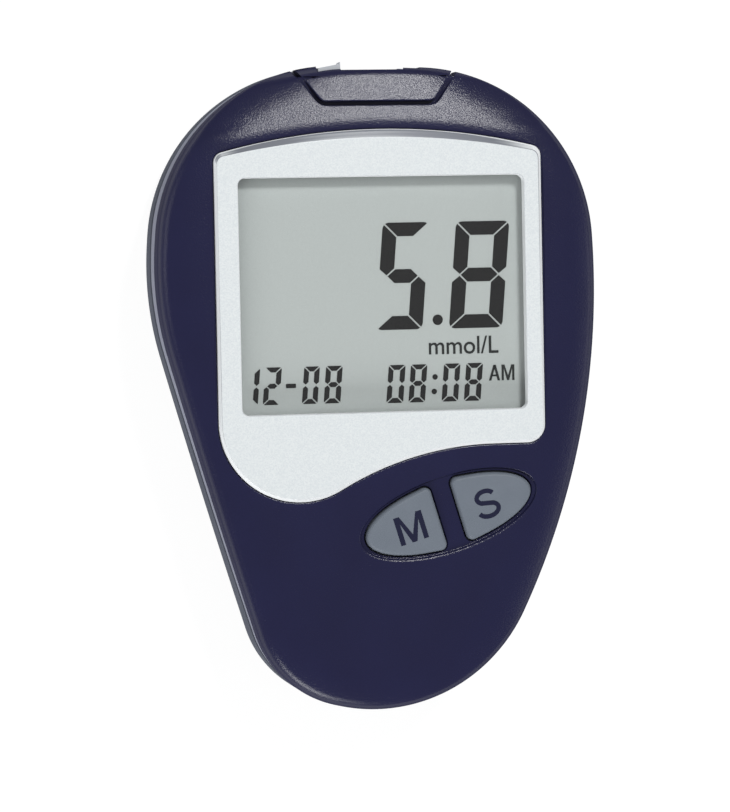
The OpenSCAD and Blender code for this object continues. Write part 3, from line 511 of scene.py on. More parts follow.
def silver_paint(name):
    """Silver metallic paint on plastic: fine flakes that twinkle on the flat, painted shade, a grey
    that comes as the top bevel turns away, and a painted highlight, a pale line along the outer
    edge."""
    material, tree, place = new_material(name)
    flake_mm = 0.16     # real flakes are about 0.03 mm, drawn coarser so that they show
    flakes = add(tree, "ShaderNodeTexVoronoi", {"Vector": place, "Scale": 1 / (flake_mm * MM)})
    shade = add(tree, "ShaderNodeSeparateColor", {"Color": flakes.outputs["Color"]}).outputs[0]
    flat = add(tree, "ShaderNodeMix", {
        0: shade, 6: linear("#dde3e6"), 7: linear("#e9eeef")}, data_type="RGBA")
    facing = add(tree, "ShaderNodeLayerWeight", {"Blend": 0.5}).outputs["Facing"]
    # painted shade: the colour turns grey where the surface turns away from the view, as on the top
    # bevel
    painted_bevel_shade = add(tree, "ShaderNodeValToRGB", {"Fac": facing})
    for at, grey in ((0.045, 0.0), (0.08, 1.0), (0.125, 1.0), (0.2, 0.0)):
        painted_bevel_shade.color_ramp.elements.new(at).color = (grey, grey, grey, 1)
    for end in (painted_bevel_shade.color_ramp.elements[0], painted_bevel_shade.color_ramp.elements[-1]):
        end.color = (0, 0, 0, 1)
    with_painted_bevel_shade = add(tree, "ShaderNodeMix", {
        0: painted_bevel_shade.outputs["Color"], 6: flat.outputs[2], 7: linear("#777b84")}, data_type="RGBA")
    # painted highlight: a pale line where the surface is seen almost edge-on, along the plate's
    # outer edge
    edge = add(tree, "ShaderNodeMapRange", {"Value": facing, "From Min": 0.14, "From Max": 0.22})
    colour = add(tree, "ShaderNodeMix", {
        0: edge.outputs["Result"], 6: with_painted_bevel_shade.outputs[2], 7: linear("#f4f7f9")}, data_type="RGBA")
    bump = add(tree, "ShaderNodeBump", {"Strength": 0.2, "Distance": 0.012 * MM, "Height": shade})
    shader = add(tree, "ShaderNodeBsdfPrincipled", {
        "Base Color": colour.outputs[2], "Metallic": 0.05, "Roughness": 0.5,
        "Specular IOR Level": 0.35, "Coat Weight": 0.15, "Coat Roughness": 0.2,
        "Normal": bump.outputs["Normal"]})
    add(tree, "ShaderNodeOutputMaterial", {"Surface": shader.outputs["BSDF"]})
    return material


def plain_finish(name, code, roughness, metallic=0.0, grain_mm=0.4, depth_mm=0.004, specular=0.5):
    """A plain moulded, plated or lacquered surface with a faint unevenness of its own."""
    material, tree, place = new_material(name)
    noise = add(tree, "ShaderNodeTexNoise", {
        "Vector": place, "Scale": 1 / (grain_mm * MM)}).outputs["Fac"]
    dimmer = 1 - 0.06
    colour = add(tree, "ShaderNodeMix", {
        0: noise, 6: linear(code), 7: (dimmer, dimmer, dimmer, 1)},
        data_type="RGBA", blend_type="MULTIPLY")
    bump = add(tree, "ShaderNodeBump", {
        "Strength": 0.6, "Distance": depth_mm * MM, "Height": noise})
    shader = add(tree, "ShaderNodeBsdfPrincipled", {
        "Base Color": colour.outputs[2], "Metallic": metallic, "Roughness": roughness,
        "Specular IOR Level": specular, "Normal": bump.outputs["Normal"]})
    add(tree, "ShaderNodeOutputMaterial", {"Surface": shader.outputs["BSDF"]})
    return material


def clear_acrylic(name):
    """Hard-coated acrylic sheet: clear, with a gloss that grows as the view flattens."""
    material, tree, _ = new_material(name)
    gloss = add(tree, "ShaderNodeBsdfGlossy", {"Color": linear("#ffffff"), "Roughness": 0.04})
    clear = add(tree, "ShaderNodeBsdfTransparent", {"Color": linear("#fcfdfd")})
    facing = add(tree, "ShaderNodeLayerWeight", {"Blend": 0.5}).outputs["Facing"]
    steep = add(tree, "ShaderNodeMath", {0: facing, 1: 5.0}, operation="POWER")
    share = add(tree, "ShaderNodeMath", {
        0: steep.outputs[0], 1: 0.7, 2: 0.03}, operation="MULTIPLY_ADD")
    mix = add(tree, "ShaderNodeMixShader", {
        0: share.outputs[0], 1: clear.outputs[0], 2: gloss.outputs[0]})
    add(tree, "ShaderNodeOutputMaterial", {"Surface": mix.outputs[0]})
    return material


def display_film(name):
    """Reflective liquid crystal film: even grey-green with a fine silvery grain."""
    material, tree, place = new_material(name)
    grain_mm = 0.35
    noise = add(tree, "ShaderNodeTexNoise", {"Vector": place, "Scale": 1 / (grain_mm * MM)})
    colour = add(tree, "ShaderNodeMix", {
        0: noise.outputs["Fac"], 6: linear("#c4c8c6"), 7: linear("#ccd0ce")}, data_type="RGBA")
    shader = add(tree, "ShaderNodeBsdfPrincipled", {
        "Base Color": colour.outputs[2], "Roughness": 0.5, "Specular IOR Level": 0.1})
    add(tree, "ShaderNodeOutputMaterial", {"Surface": shader.outputs["BSDF"]})
    return material


# mouldings: dark colour, light colour, grain and depth of the mould texture in mm, roughness
# navy case: a deep blue that sparkles in the ramp and is even elsewhere
NAVY = moulded_plastic(
    "navy_abs_spark_eroded", "#1c1c3b", "#202144", 0.24, 0.06, 0.22, 0.6, 0.34)
# grey band and darker grey back: even, dull and slightly blue
GREY = moulded_plastic(
    "grey_abs_spark_eroded", "#9194a3", "#999cab", 0.34, 0.03, 0.6, specular=0.06)
DARK_GREY = moulded_plastic(
    "dark_grey_abs_spark_eroded", "#5c606b", "#646873", 0.34, 0.04, 0.6, specular=0.06)
# keys: a finer mould, so they are smoother and a little cloudy
KEY_GREY = moulded_plastic(
    "key_grey_abs_fine", "#6c747f", "#757d88", 0.3, 0.012, 0.45, specular=0.3, mottle_mm=3)
# bezel round the strip slot: pale and satin
LIGHT_GREY = moulded_plastic("light_grey_abs", "#bfc3c9", "#c8ccd2", 0.3, 0.01, 0.4)
SILVER = silver_paint("silver_metallic_paint")
ACRYLIC = clear_acrylic("clear_acrylic_hard_coated")
FILM = display_film("liquid_crystal_reflector_film")
# lit segments: nearly black and without shine, the small ones a little paler
INK = plain_finish("liquid_crystal_segment_dark", "#262526", 0.6, specular=0.1)
FINE_INK = plain_finish("liquid_crystal_legend_dark", "#303232", 0.6, specular=0.1)
# pad-printed ink: flat dark blue
LEGEND = plain_finish("key_legend_navy_ink", "#23253c", 0.5, specular=0.1)
# polyester and acetal: plain whites, the acetal slightly waxy
WHITE_FILM = plain_finish("white_diffuser_film", "#e6e8e4", 0.6)
WHITE_POM = plain_finish("white_acetal_moulded", "#e9eaea", 0.45)
# silicone and foot rubber: dull blacks
ELASTOMER = plain_finish("black_conductive_elastomer", "#26262a", 0.7)
RUBBER = plain_finish("black_foot_rubber", "#27272a", 0.75, depth_mm=0.01)
# on the board: glossy green lacquer, dull black chip, matt tan ceramic
BOARD = plain_finish("green_solder_mask", "#2f6b46", 0.35, grain_mm=1.5)
EPOXY = plain_finish("black_moulded_epoxy", "#242427", 0.55)
CERAMIC = plain_finish("tan_ceramic", "#8a7a62", 0.5)
# metals: bright nickel with a fine rolled grain, warm brass, yellow gold plate
STEEL = plain_finish("nickel_plated_steel", "#c4c6c9", 0.28, 1.0, grain_mm=0.25, depth_mm=0.002)
BRASS = plain_finish("rolled_brass", "#d8c27a", 0.3, 1.0)
GOLD = plain_finish("gold_plated_spring_bronze", "#d9b45a", 0.25, 1.0)


# ---------------------------------------------------------------- outside pieces

def shown(piece, material, slot, *replaced, body="meter"):
    """Gives a finished piece its material and its body, and hides the CAD nodes it stands for."""
    piece.data.materials.clear()
    piece.data.materials.append(material)
    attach(piece, body)
    if replaced:
        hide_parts(*replaced)
    return piece


def face_body(name):
    """The front cover's outside as a solid block down to the rim."""
    rings = [ring(contour(EDGE_R * inwards), RIM_Z + EDGE_R * along)
             for inwards, along in EDGE_STEPS]
    rings += [ring(contour(0), z) for z in (15.2, 16.2)]
    rim_insets = CROWN_FROM * (1 - np.cos(np.linspace(0, QUARTER_TURN, 14)))
    for inset in np.r_[rim_insets, np.arange(CROWN_FROM + 0.25, FLAT_IN, 0.27), FLAT_IN]:
        p = contour(inset)
        rings.append(ring(p, face_height(p, inset)))
    return loft(name, rings)


def notch():
    """The cut in the strip end, as wide as the slot, that runs through every moulding."""
    return box_between("notch", (SLOT_START, HEAD_Y - SLOT_BACK, -1), (SLOT_END, HEAD_Y + 5, 30))


def bezel_hole(name, gap):
    return box_between(name, (BEZEL_LEFT - gap, HEAD_Y - 3.5, BEZEL_Z - 2),
                       (BEZEL_RIGHT + gap, HEAD_Y + 6, BEZEL_Z + BEZEL_H + gap))


def post(name, at, r, low, high):
    return prism(name, round_plan(at, r, 32), low, high)


def cover_end(name, gap, back, low, high):
    """The flared end of the port cover, which closes the strip end down to the side band."""
    keep = box_between("keep", (-30, HEAD_Y - COVER_WALL - back - 0.4, low - 1),
                       (30, HEAD_Y + 6, high + 1))
    return carve(prism(name, cover_plan(gap), low, high), [keep], "INTERSECT")


def dish():
    """The cutter of the shallow oval dish, with a rounded foot and a soft lip."""
    floor_z = FACE_Z - DISH_DEPTH
    rings = [ring(oval_plan(-DISH_FOOT_R), floor_z)]
    rings += [ring(oval_plan(-DISH_FOOT_R * inwards), floor_z + DISH_FOOT_R * up)
              for up, inwards in quarter(5, 0.2)]
    rings += [ring(oval_plan(LIP_W * out), FACE_Z + PROUD - LIP_H * down)
              for out, down in quarter(10)]
    return loft("dish", rings + [ring(oval_plan(LIP_W), FACE_Z + 3)])


def front_cover():
    piece = face_body("front_cover_shell")
    hollow = [ring(contour(FRONT_WALL), RIM_Z - 1), ring(contour(FRONT_WALL), RIM_Z + 0.8)]
    ceilings = [(FRONT_WALL, RIM_TOP - 0.4)] + [(inset, FRONT_CEILING) for inset in (3, 5, 7, 10)]
    for inset, z in ceilings:
        p = contour(inset)
        hollow.append(ring(p, np.minimum(z, face_height(p) - FRONT_ROOF)))
    carve(piece, [loft("hollow", hollow)])
    inside = [prism("ledge", cover_plan(GROOVE_W + LEDGE_W), COVER_Z - LEDGE_T, 25)]
    inside += [post("boss", at, BOSS_R, RIM_Z - 0.2, POST_TOP) for at in SCREWS]
    inside += [post("board_post", at, POST_R, BOARD_TOP, POST_TOP) for at in BOARD_SCREWS]
    for part in inside:
        carve(part, [face_body("trim")], "INTERSECT")
        carve(piece, [part], "UNION")
    window = rounded_rect(WINDOW_W + 1.24, WINDOW_H + 1.24, WINDOW_R, WINDOW_AT)
    carve(piece, [post("bore", at, 1.05, 0, 17) for at in SCREWS])
    carve(piece, [post("bore", at, 0.75, 0, 17.4) for at in BOARD_SCREWS])
    carve(piece, [
        pocket("plate_pocket", lambda g: plate_plan(0.12 + g), PLATE_Z, face_height, 0.26,
               steps=8, drop=0.09),
        prism("window_hole", window, 10, 25),
        dish()])
    for side in (-1, 1):
        carve(piece, [pocket("key_hole", lambda g: key_plan(side, g), 10,
                             level(FACE_Z - DISH_DEPTH), 0.12, grow=0.25, reach=0.3)])
    socket = SOCKET_HALF_W + ROOM
    carve(piece, [
        pocket("cover_pocket", lambda g: cover_plan(GROOVE_W + g), COVER_Z, face_height, 0.13),
        prism("cover_opening", cover_plan(-SHELF_W), 5, 25),
        cover_end("end_opening", GROOVE_W, 0.12, 13, COVER_Z + 1),
        bezel_hole("bezel_opening", ROOM),
        box_between("socket_room", (PORT_X - socket, HEAD_Y - 13.7, 0),
                    (PORT_X + socket, 60, COVER_Z - LEDGE_T)),
        notch()])
    return shown(smooth(piece), NAVY, "navy_abs", "front_cover")


def port_cover():
    block = [ring(cover_plan(0), COVER_Z + COVER_SEAT)]
    for out, down in quarter(6):
        p = cover_plan(-COVER_EDGE * out)
        block.append(ring(p, face_height(p) + PROUD - COVER_EDGE * down))
    p = cover_plan(-COVER_EDGE)
    block.append(ring(p, face_height(p) + 2))
    piece = loft("port_cover_slider", block)
    carve(piece, [cover_end("end", 0, 0, RIM_Z + 0.25, COVER_Z + 1)], "UNION")
    carve(piece, [face_body("trim")], "INTERSECT")
    carve(piece, [bezel_hole("bezel_room", 0.15), notch()])
    return shown(smooth(piece), NAVY, "navy_abs", "port_cover", body="strip_cover")


def strip_bezel():
    plan = np.array([
        [BEZEL_LEFT, BEZEL_IN_Y], [BEZEL_RIGHT, BEZEL_IN_Y], [BEZEL_RIGHT, HEAD_Y - 1.0],
        [SLOT_END, HEAD_Y - 0.75], [PORT_X, HEAD_Y - 0.2], [SLOT_START, BEZEL_OUT_Y],
        [SLOT_START - 0.15, HEAD_Y + 0.05], [BEZEL_LEFT, HEAD_Y - 0.5]])
    piece = prism("strip_bezel_frame", plan, BEZEL_Z, BEZEL_Z + BEZEL_H)
    board = box_between("board_room", (-30, 42, 13.4), (30, 45, 15.75))
    slot = box_between("slot", (SLOT_START, 42, SLOT_Z), (SLOT_END, 50, SLOT_Z + SLOT_H))
    carve(piece, [board, slot, notch()])
    rounded(piece, 0.1)
    return shown(smooth(piece), LIGHT_GREY, "light_grey_abs", "strip_bezel")


def side_band():
    outer = BAND_SET_BACK

    def low(inset, lift):
        p = contour(inset)
        return ring(p, split_height(p, SPLIT_GAP + lift))
    rings = [low(BAND_IN, 0)]
    rings += [low(outer + EDGE_R * inwards, EDGE_R * along) for inwards, along in EDGE_STEPS]
    wall = contour(outer)
    rings += [ring(wall, split_height(wall, SPLIT_GAP) * (1 - f) + RIM_Z * f)
              for f in (0.3, 0.6, 0.9)]
    rings += [ring(contour(outer + EDGE_R * inwards), RIM_Z - EDGE_R * along)
              for inwards, along in EDGE_STEPS[::-1]]
    lip_z = RIM_Z + BAND_LIP_H
    rings += [ring(contour(BAND_LIP_IN), RIM_Z), ring(contour(BAND_LIP_IN), lip_z),
              ring(contour(BAND_IN), lip_z)]
    piece = loft("side_band_ring", rings, closed=True)
    carve(piece, [post("boss_room", at, BOSS_R + ROOM, 0, 30) for at in SCREWS])
    carve(piece, [cover_end("end_opening", ROOM, ROOM, RIM_Z + 0.02, 19), notch()])
    return shown(smooth(piece), GREY, "grey_abs", "side_band")


def back_cover():
    rings = [ring(contour(BELLY_R * inwards), BACK_Z + BELLY_R * up)
             for up, inwards in quarter(16)]
    for inwards, along in EDGE_STEPS[::-1]:
        p = contour(EDGE_R * inwards)
        rings.append(ring(p, split_height(p, -EDGE_R * along)))
    piece = loft("back_cover_shell", rings)
    inner_r = BELLY_R - BACK_WALL
    inner = [ring(contour(BELLY_R - inner_r * math.sin(t)),
                  BACK_Z + BELLY_R - inner_r * math.cos(t))
             for t in np.linspace(0.25, QUARTER_TURN, 7)]
    p = contour(BACK_WALL)
    carve(piece, [loft("hollow", inner + [ring(p, split_height(p, 2))])])
    walls = box_between(
        "bay_walls", (BAY_LEFT - BAY_WALL, BAY_Y - BAY_WALL, BACK_Z + FLOOR_T),
        (BAY_RIGHT + BAY_WALL, BAY_END_Y + BAY_WALL, BAY_TOP + BAY_ROOF))
    bosses = [post("boss", at, BOSS_R, BACK_Z + FLOOR_T, RIM_Z - 0.4) for at in SCREWS]
    carve(piece, [walls] + bosses, "UNION")
    door = growing_rect(DOOR_W + DOOR_ROOM, DOOR_L + DOOR_ROOM, DOOR_R + ROOM, DOOR_AT)
    carve(piece, [
        box_between("bay", (BAY_LEFT, BAY_Y, -1), (BAY_RIGHT, BAY_END_Y, BAY_TOP)),
        pocket("door_pocket", door, BACK_Z + DOOR_T + 0.2, level(BACK_Z), 0.15, up=-1)])
    carve(piece, [
        box_between("hook_room", (BAY_X + x - 1.8, DOOR_END_Y - 4, 1.6),
                    (BAY_X + x + 1.8, DOOR_END_Y + 1.9, 4.6)) for x in HOOKS_X])
    carve(piece, [post("bore", at, 1.2, 0, 20) for at in SCREWS])
    for at in SCREWS:
        carve(piece, [pocket("screw_well", lambda g: round_plan(at, SCREW_HEAD_R + 0.3 + g),
                             SCREW_SEAT, back_height, 0.15, up=-1)])
    for at in FEET:
        carve(piece, [pocket("foot_seat", lambda g: round_plan(at, FOOT_R + 0.1 + g),
                             BACK_Z + 0.4, back_height, 0.1, up=-1)])
    carve(piece, [notch()])
    return shown(smooth(piece), DARK_GREY, "dark_grey_abs", "back_cover")


def face_plate():
    bevel_z = PLATE_TOP - 0.45
    outer = plate_plan(0)
    crest_drop = PLATE_TOP_BEVEL - PLATE_BEVEL
    crest = plate_plan(-PLATE_BEVEL, PLATE_CREST, crest_drop)
    rings = [ring(outer, PLATE_Z), ring(outer, PLATE_TOP - 0.6)]
    # a small round at the outer edge, then a plane bevel that ends in a crisp crest
    for across, up in ((0.0, 0.0), (0.015, 0.09), (0.05, 0.17), (0.1, 0.24), (0.3, 0.4),
                       (0.6, 0.66), (0.9, 0.925), (1.0, 1.0)):
        rings.append(ring(outer + (crest - outer) * across, bevel_z + (PLATE_TOP - bevel_z) * up))
    for back in (0.15, 0.5):
        rings.append(ring(plate_plan(-PLATE_BEVEL - back, PLATE_CREST, crest_drop), PLATE_TOP))
    window = growing_rect(WINDOW_W, WINDOW_H, WINDOW_R, WINDOW_AT)
    piece = loft("face_plate_shell", rings)
    carve(piece, [pocket("window", window, PLATE_Z - 2, level(PLATE_TOP), 0.12)])
    return shown(smooth(piece, 40), SILVER, "silver_paint", "face_plate")


# ---------------------------------------------------------------- keys and their letters

def reach_of(p, rim, centre):
    """Where each point lies between the centre, 0, and the rim, 1."""
    d, e = p - centre, rim - centre
    a, rim_a = np.arctan2(d[:, 1], d[:, 0]), np.arctan2(e[:, 1], e[:, 0])
    order = np.argsort(rim_a)
    limit = np.interp(a, rim_a[order], np.hypot(*e[order].T), period=2 * math.pi)
    return np.clip(np.hypot(*d.T) / limit, 0, 1)


def letter_s():
    """The curve of an S as a band of even width."""
    t = np.linspace(math.radians(20), math.radians(270), 20)
    upper = np.c_[1.22 * np.cos(t), 0.89 + 0.84 * np.sin(t)]
    u = np.linspace(math.radians(90), math.radians(-165), 20)
    lower = np.c_[1.42 * np.cos(u), -0.86 + 0.91 * np.sin(u)]
    line = np.vstack([upper[:-3], lower[3:]])
    d = np.gradient(line, axis=0)
    d /= np.linalg.norm(d, axis=1)[:, None]
    side = np.c_[-d[:, 1], d[:, 0]] * 0.62 / 2
    return np.vstack([line + side, (line - side)[::-1]])


# each letter's place on the face, and its outline about that place
LETTER_SCALE = 1.05
LETTERS = {
    "M": ((3.42, -19.96), [
        (-2.0, -1.95), (-2.0, 1.95), (-1.2, 1.95), (0, -0.9), (1.2, 1.95), (2.0, 1.95),
        (2.0, -1.95), (1.32, -1.95), (1.32, 0.95), (0.34, -1.95), (-0.34, -1.95),
        (-1.32, 0.95), (-1.32, -1.95)]),
    "S": ((14.58, -16.83), letter_s()),
}


def thin_solid(name, outlines, z_of, thickness=0.03, cuts=0):
    """Flat shapes of a small thickness, laid on a surface. Cuts let them follow a curve."""
    bm = bmesh.new()
    for outline in outlines:
        verts = [bm.verts.new((x * MM, y * MM, 0)) for x, y in outline]
        made = bmesh.ops.triangulate(bm, faces=[bm.faces.new(verts)])["faces"]
        if cuts:
            edges = list({e for f in made for e in f.edges})
            bmesh.ops.subdivide_edges(bm, edges=edges, cuts=cuts, use_grid_fill=True)
    for vert, z in zip(bm.verts, z_of(np.array([v.co[:2] for v in bm.verts]) / MM)):
        vert.co.z = z * MM
    top = bmesh.ops.extrude_face_region(bm, geom=list(bm.faces))["geom"]
    bmesh.ops.translate(bm, vec=(0, 0, thickness * MM),
                        verts=[v for v in top if isinstance(v, bmesh.types.BMVert)])
    bmesh.ops.recalc_face_normals(bm, faces=bm.faces)
    mesh = bpy.data.meshes.new(name)
    bm.to_mesh(mesh)
    bm.free()
    return put(name, mesh)


def key(name, side, body, node, letter):
    """A key cap with its flange, a rounded edge and a slightly domed top, and the letter on it."""
    rings = [ring(key_plan(side, FLANGE_W), FLANGE_TOP - FLANGE_T),
             ring(key_plan(side, FLANGE_W), FLANGE_TOP), ring(key_plan(side, 0), FLANGE_TOP)]
    top = KEY_TOP - KEY_CROWN
    for out, down in quarter(9):
        rings.append(ring(key_plan(side, -KEY_EDGE * out), top - KEY_EDGE * down))
    rim = key_plan(side, -KEY_EDGE)
    centre = rim.mean(0)
    for s in (0.94, 0.86, 0.75, 0.6, 0.42, 0.22):
        rings.append(ring(centre + (rim - centre) * s, top + KEY_CROWN * (1 - s * s)))
    shown(smooth(loft(name, rings)), KEY_GREY, "key_grey", node, body=body)

    def dome(p):
        return top + KEY_CROWN * (1 - reach_of(p, rim, centre) ** 2) - 0.01
    at, outline = LETTERS[letter]
    placed = np.asarray(outline) * LETTER_SCALE @ KEYS_TURN + np.array(at)
    legend = thin_solid(name + "_legend", [placed], dome, cuts=3)
    shown(legend, LEGEND, "key_grey", body=body)


# ---------------------------------------------------------------- display

LCD_TOP, INK_T = 17.9, 0.02
SLANT = math.tan(math.radians(5))
SEGMENTS = {"0": "abcdef", "1": "bc", "2": "abged", "5": "afgcd", "8": "abcdefg", "-": "g"}
LARGE = dict(bar_w=2.1, bar_h=1.95, gap=0.22, corner=0.9)
SMALL = dict(bar_w=0.74, bar_h=0.7, gap=0.16, corner=0.35)
# figure, left, bottom, width, height and style: the reading, the date and the time
FIGURES = (
    ("5", -0.67, 8.22, 6.8, 15.24, LARGE), ("8", 10.02, 8.22, 7.83, 15.24, LARGE),
    ("1", -20.55, -2.0, 2.65, 5.3, SMALL), ("2", -17.19, -2.0, 2.4, 5.3, SMALL),
    ("0", -11.56, -2.0, 2.25, 5.3, SMALL), ("8", -8.41, -2.0, 2.4, 5.3, SMALL),
    ("0", 0.67, -2.2, 2.45, 5.4, SMALL), ("8", 3.9, -2.2, 2.4, 5.4, SMALL),
    ("0", 8.74, -2.2, 2.4, 5.4, SMALL), ("8", 12.01, -2.2, 2.45, 5.4, SMALL))
# centre, radius and steps of the decimal point and the time's colon
DOTS = (((8.4, 9.5), 0.75, 24), ((7.86, 1.35), 0.4, 16), ((7.7, -0.72), 0.4, 16))


def clip(poly, point, normal):
    """The part of a convex polygon on the side of a line that the normal points to."""
    out = []
    side = (poly - point) @ normal
    for i in range(len(poly)):
        j = (i + 1) % len(poly)
        if side[i] >= 0:
            out.append(poly[i])
        if side[i] * side[j] < 0:
            out.append(poly[i] + (poly[j] - poly[i]) * side[i] / (side[i] - side[j]))
    return np.array(out)


def between(poly, a, b, gap):
    """Cuts a polygon along the line from a to b, keeping its left side, half a gap away."""
    d = np.array(b, float) - np.array(a, float)
    d /= np.linalg.norm(d)
    n = np.array([-d[1], d[0]])
    return clip(poly, np.array(a) + n * gap / 2, n)


def digit(char, x, y, w, h, bar_w, bar_h, gap, corner):
    """The lit segments of one digit, with mitred ends. x, y is its lower left corner."""
    block = rounded_rect(w, h, corner, (w / 2, h / 2), 5)
    mid = h / 2
    tip = bar_h * 0.5
    shapes = {
        "a": [((0, h), (bar_w, h - bar_h)), ((w - bar_w, h - bar_h), (w, h)),
              ((0, h - bar_h), (w, h - bar_h))],
        "d": [((bar_w, bar_h), (0, 0)), ((w, 0), (w - bar_w, bar_h)), ((w, bar_h), (0, bar_h))],
        "f": [((bar_w, h - bar_h), (0, h)), ((bar_w, 0), (bar_w, h)),
              ((bar_w / 2, mid), (bar_w, mid + tip)), ((0, mid + tip * 0.9), (bar_w / 2, mid))],
        "g": [((0, mid - tip), (w, mid - tip)), ((w, mid + tip), (0, mid + tip)),
              ((bar_w, mid + tip), (bar_w / 2, mid)), ((bar_w / 2, mid), (bar_w, mid - tip)),
              ((w - bar_w / 2, mid), (w - bar_w, mid + tip)),
              ((w - bar_w, mid - tip), (w - bar_w / 2, mid))],
    }
    out = []
    for name in SEGMENTS[char]:
        poly = block
        for a, b in shapes["f" if name in "bce" else name]:
            flat = abs(a[1] - b[1]) < 1e-9 or abs(a[0] - b[0]) < 1e-9
            poly = between(poly, a, b, 0 if flat else gap)
        if name in "bc":
            poly = poly * [-1, 1] + [w, 0]
        if name in "ce":
            poly = poly * [1, -1] + [0, h]
        out.append(poly + np.array([x, y]) + np.c_[poly[:, 1] * SLANT, poly[:, 1] * 0])
    return out


def text_mesh(name, text, box, z, weight):
    """Plain lettering fitted to a box (left, top, right, bottom), as a thin solid."""
    curve = bpy.data.curves.new(name, "FONT")
    curve.body = text
    curve.size = 1
    curve.offset = weight
    curve.extrude = INK_T / 2
    made = put(name + "_curve", curve)
    graph = bpy.context.evaluated_depsgraph_get()
    graph.update()
    mesh = bpy.data.meshes.new_from_object(made.evaluated_get(graph))
    bpy.data.objects.remove(made)
    co = np.array([v.co for v in mesh.vertices])
    low, high = co.min(0), co.max(0)
    sx, sy = (box[2] - box[0]) / (high[0] - low[0]), (box[1] - box[3]) / (high[1] - low[1])
    for v, p in zip(mesh.vertices, co):
        v.co = Vector(((box[0] + (p[0] - low[0]) * sx) * MM,
                       (box[3] + (p[1] - low[1]) * sy) * MM, (z + (p[2] - low[2])) * MM))
    mesh.name = name
    return put(name, recalculated(mesh))


def half_day(left, right, low, high, bar):
    """The letters A and M: the A is two legs and a bar, the M one outline."""
    mid = (left + right) / 2 - 0.1
    dip = (mid + 0.1 + right) / 2
    return [
        [(left, low), (left + bar * 1.1, low), (left + 1.06, high), (left + 0.7, high)],
        [(mid - 0.12, low), (mid - 0.12 - bar * 1.1, low), (left + 0.7, high),
         (left + 1.06, high)],
        [(left + 0.4, low + 0.6), (mid - 0.5, low + 0.6), (mid - 0.6, low + 0.86),
         (left + 0.5, low + 0.86)],
        [(mid + 0.1, low), (mid + 0.1, high), (mid + 0.55, high), (dip, low + 0.7),
         (right - 0.45, high), (right, high), (right, low), (right - bar, low),
         (right - bar, high - 0.55), (dip + 0.16, low), (dip - 0.16, low),
         (mid + 0.1 + bar, high - 0.55), (mid + 0.1 + bar, low)]]


def display():
    z = LCD_TOP + 0.02
    shapes = []
    for char, x, y, w, h, style in FIGURES[:2]:
        shapes += digit(char, x, y, w, h, **style)
    shapes.append(round_plan(*DOTS[0]))
    for char, x, y, w, h, style in FIGURES[2:]:
        shapes += digit(char, x, y, w, h, **style)
    shapes.append(rounded_rect(1.45, 0.62, 0.1, (-13.08, 0.62), 2))
    shapes += [round_plan(*dot) for dot in DOTS[1:]]
    shown(thin_solid("display_digits", shapes, level(z), INK_T), INK, "lcd_glass")
    unit = text_mesh("display_unit", "mmol/L", (7.02, 7.08, 17.24, 4.54), z, 0.008)
    shown(unit, FINE_INK, "lcd_glass")
    letters = half_day(15.74, 19.53, 0.61, 2.86, 0.34)
    shown(thin_solid("display_half_day", letters, level(z), INK_T), FINE_INK, "lcd_glass")


# ---------------------------------------------------------------- back and inside

def battery_door():
    plan = growing_rect(DOOR_W, DOOR_L, DOOR_R, DOOR_AT)
    rings = [ring(plan(-DOOR_EDGE * inwards), BACK_Z + DOOR_EDGE * up)
             for up, inwards in quarter(5)]
    piece = loft("battery_door_lid", rings + [ring(plan(0), BACK_Z + DOOR_T)])
    for x in HOOKS_X:
        hook = box_between("hook", (BAY_X + x - 1.5, DOOR_END_Y - 2.4, BACK_Z + DOOR_T - 0.3),
                           (BAY_X + x + 1.5, DOOR_END_Y + 1.5, BACK_Z + DOOR_T + 0.89))
        carve(piece, [rounded(hook, 0.15)], "UNION")
    rib = box_between("rib", (BAY_X - 0.2, BAY_Y + 3, 1.6), (BAY_X + 0.2, BAY_END_Y - 3, 2.69))
    carve(piece, [rib], "UNION")
    rod = [(0, -5.2), (0.25, -5.1), (0.4, -4.8), (0.4, 4.8), (0.25, 5.1), (0, 5.2)]
    across = Matrix.Rotation(QUARTER_TURN, 4, "Y")
    for i in range(5):
        groove = lathe("groove", rod, 24)
        y = DOOR_Y + 4.5 + i * 1.5
        groove.data.transform(Matrix.Translation((BAY_X * MM, y * MM, BACK_Z * MM)) @ across)
        carve(piece, [groove])
    return shown(smooth(piece), DARK_GREY, "dark_grey_abs", "battery_door", body="battery_lid")


def node_group(name, inputs):
    """A geometry node group with named inputs, given as (name, socket type, default)."""
    tree = bpy.data.node_groups.new(name, "GeometryNodeTree")
    for way in ("OUTPUT", "INPUT"):
        tree.interface.new_socket("Geometry", in_out=way, socket_type="NodeSocketGeometry")
    for label, kind, value in inputs:
        socket = tree.interface.new_socket(label, in_out="INPUT", socket_type=kind)
        if value is not None:
            socket.default_value = value
    return tree, add(tree, "NodeGroupInput").outputs


def end_group(tree, geometry, material):
    real = add(tree, "GeometryNodeRealizeInstances", {"Geometry": geometry})
    done = add(tree, "GeometryNodeSetMaterial", {
        "Geometry": real.outputs[0], "Material": material})
    add(tree, "NodeGroupOutput", {"Geometry": done.outputs[0]})
    return tree


def grown(name, tree, values, points=((0, 0, 0),)):
    """Runs a node group on a few points and keeps the result as a plain mesh."""
    mesh = bpy.data.meshes.new(name)
    mesh.from_pydata((np.array(points, float) * MM).tolist(), [], [])
    piece = put(name, mesh)
    modifier = piece.modifiers.new("grow", "NODES")
    modifier.node_group = tree
    for item in tree.interface.items_tree:
        if item.in_out == "INPUT" and item.name in values:
            modifier[item.identifier] = values[item.name]
    return baked(piece)


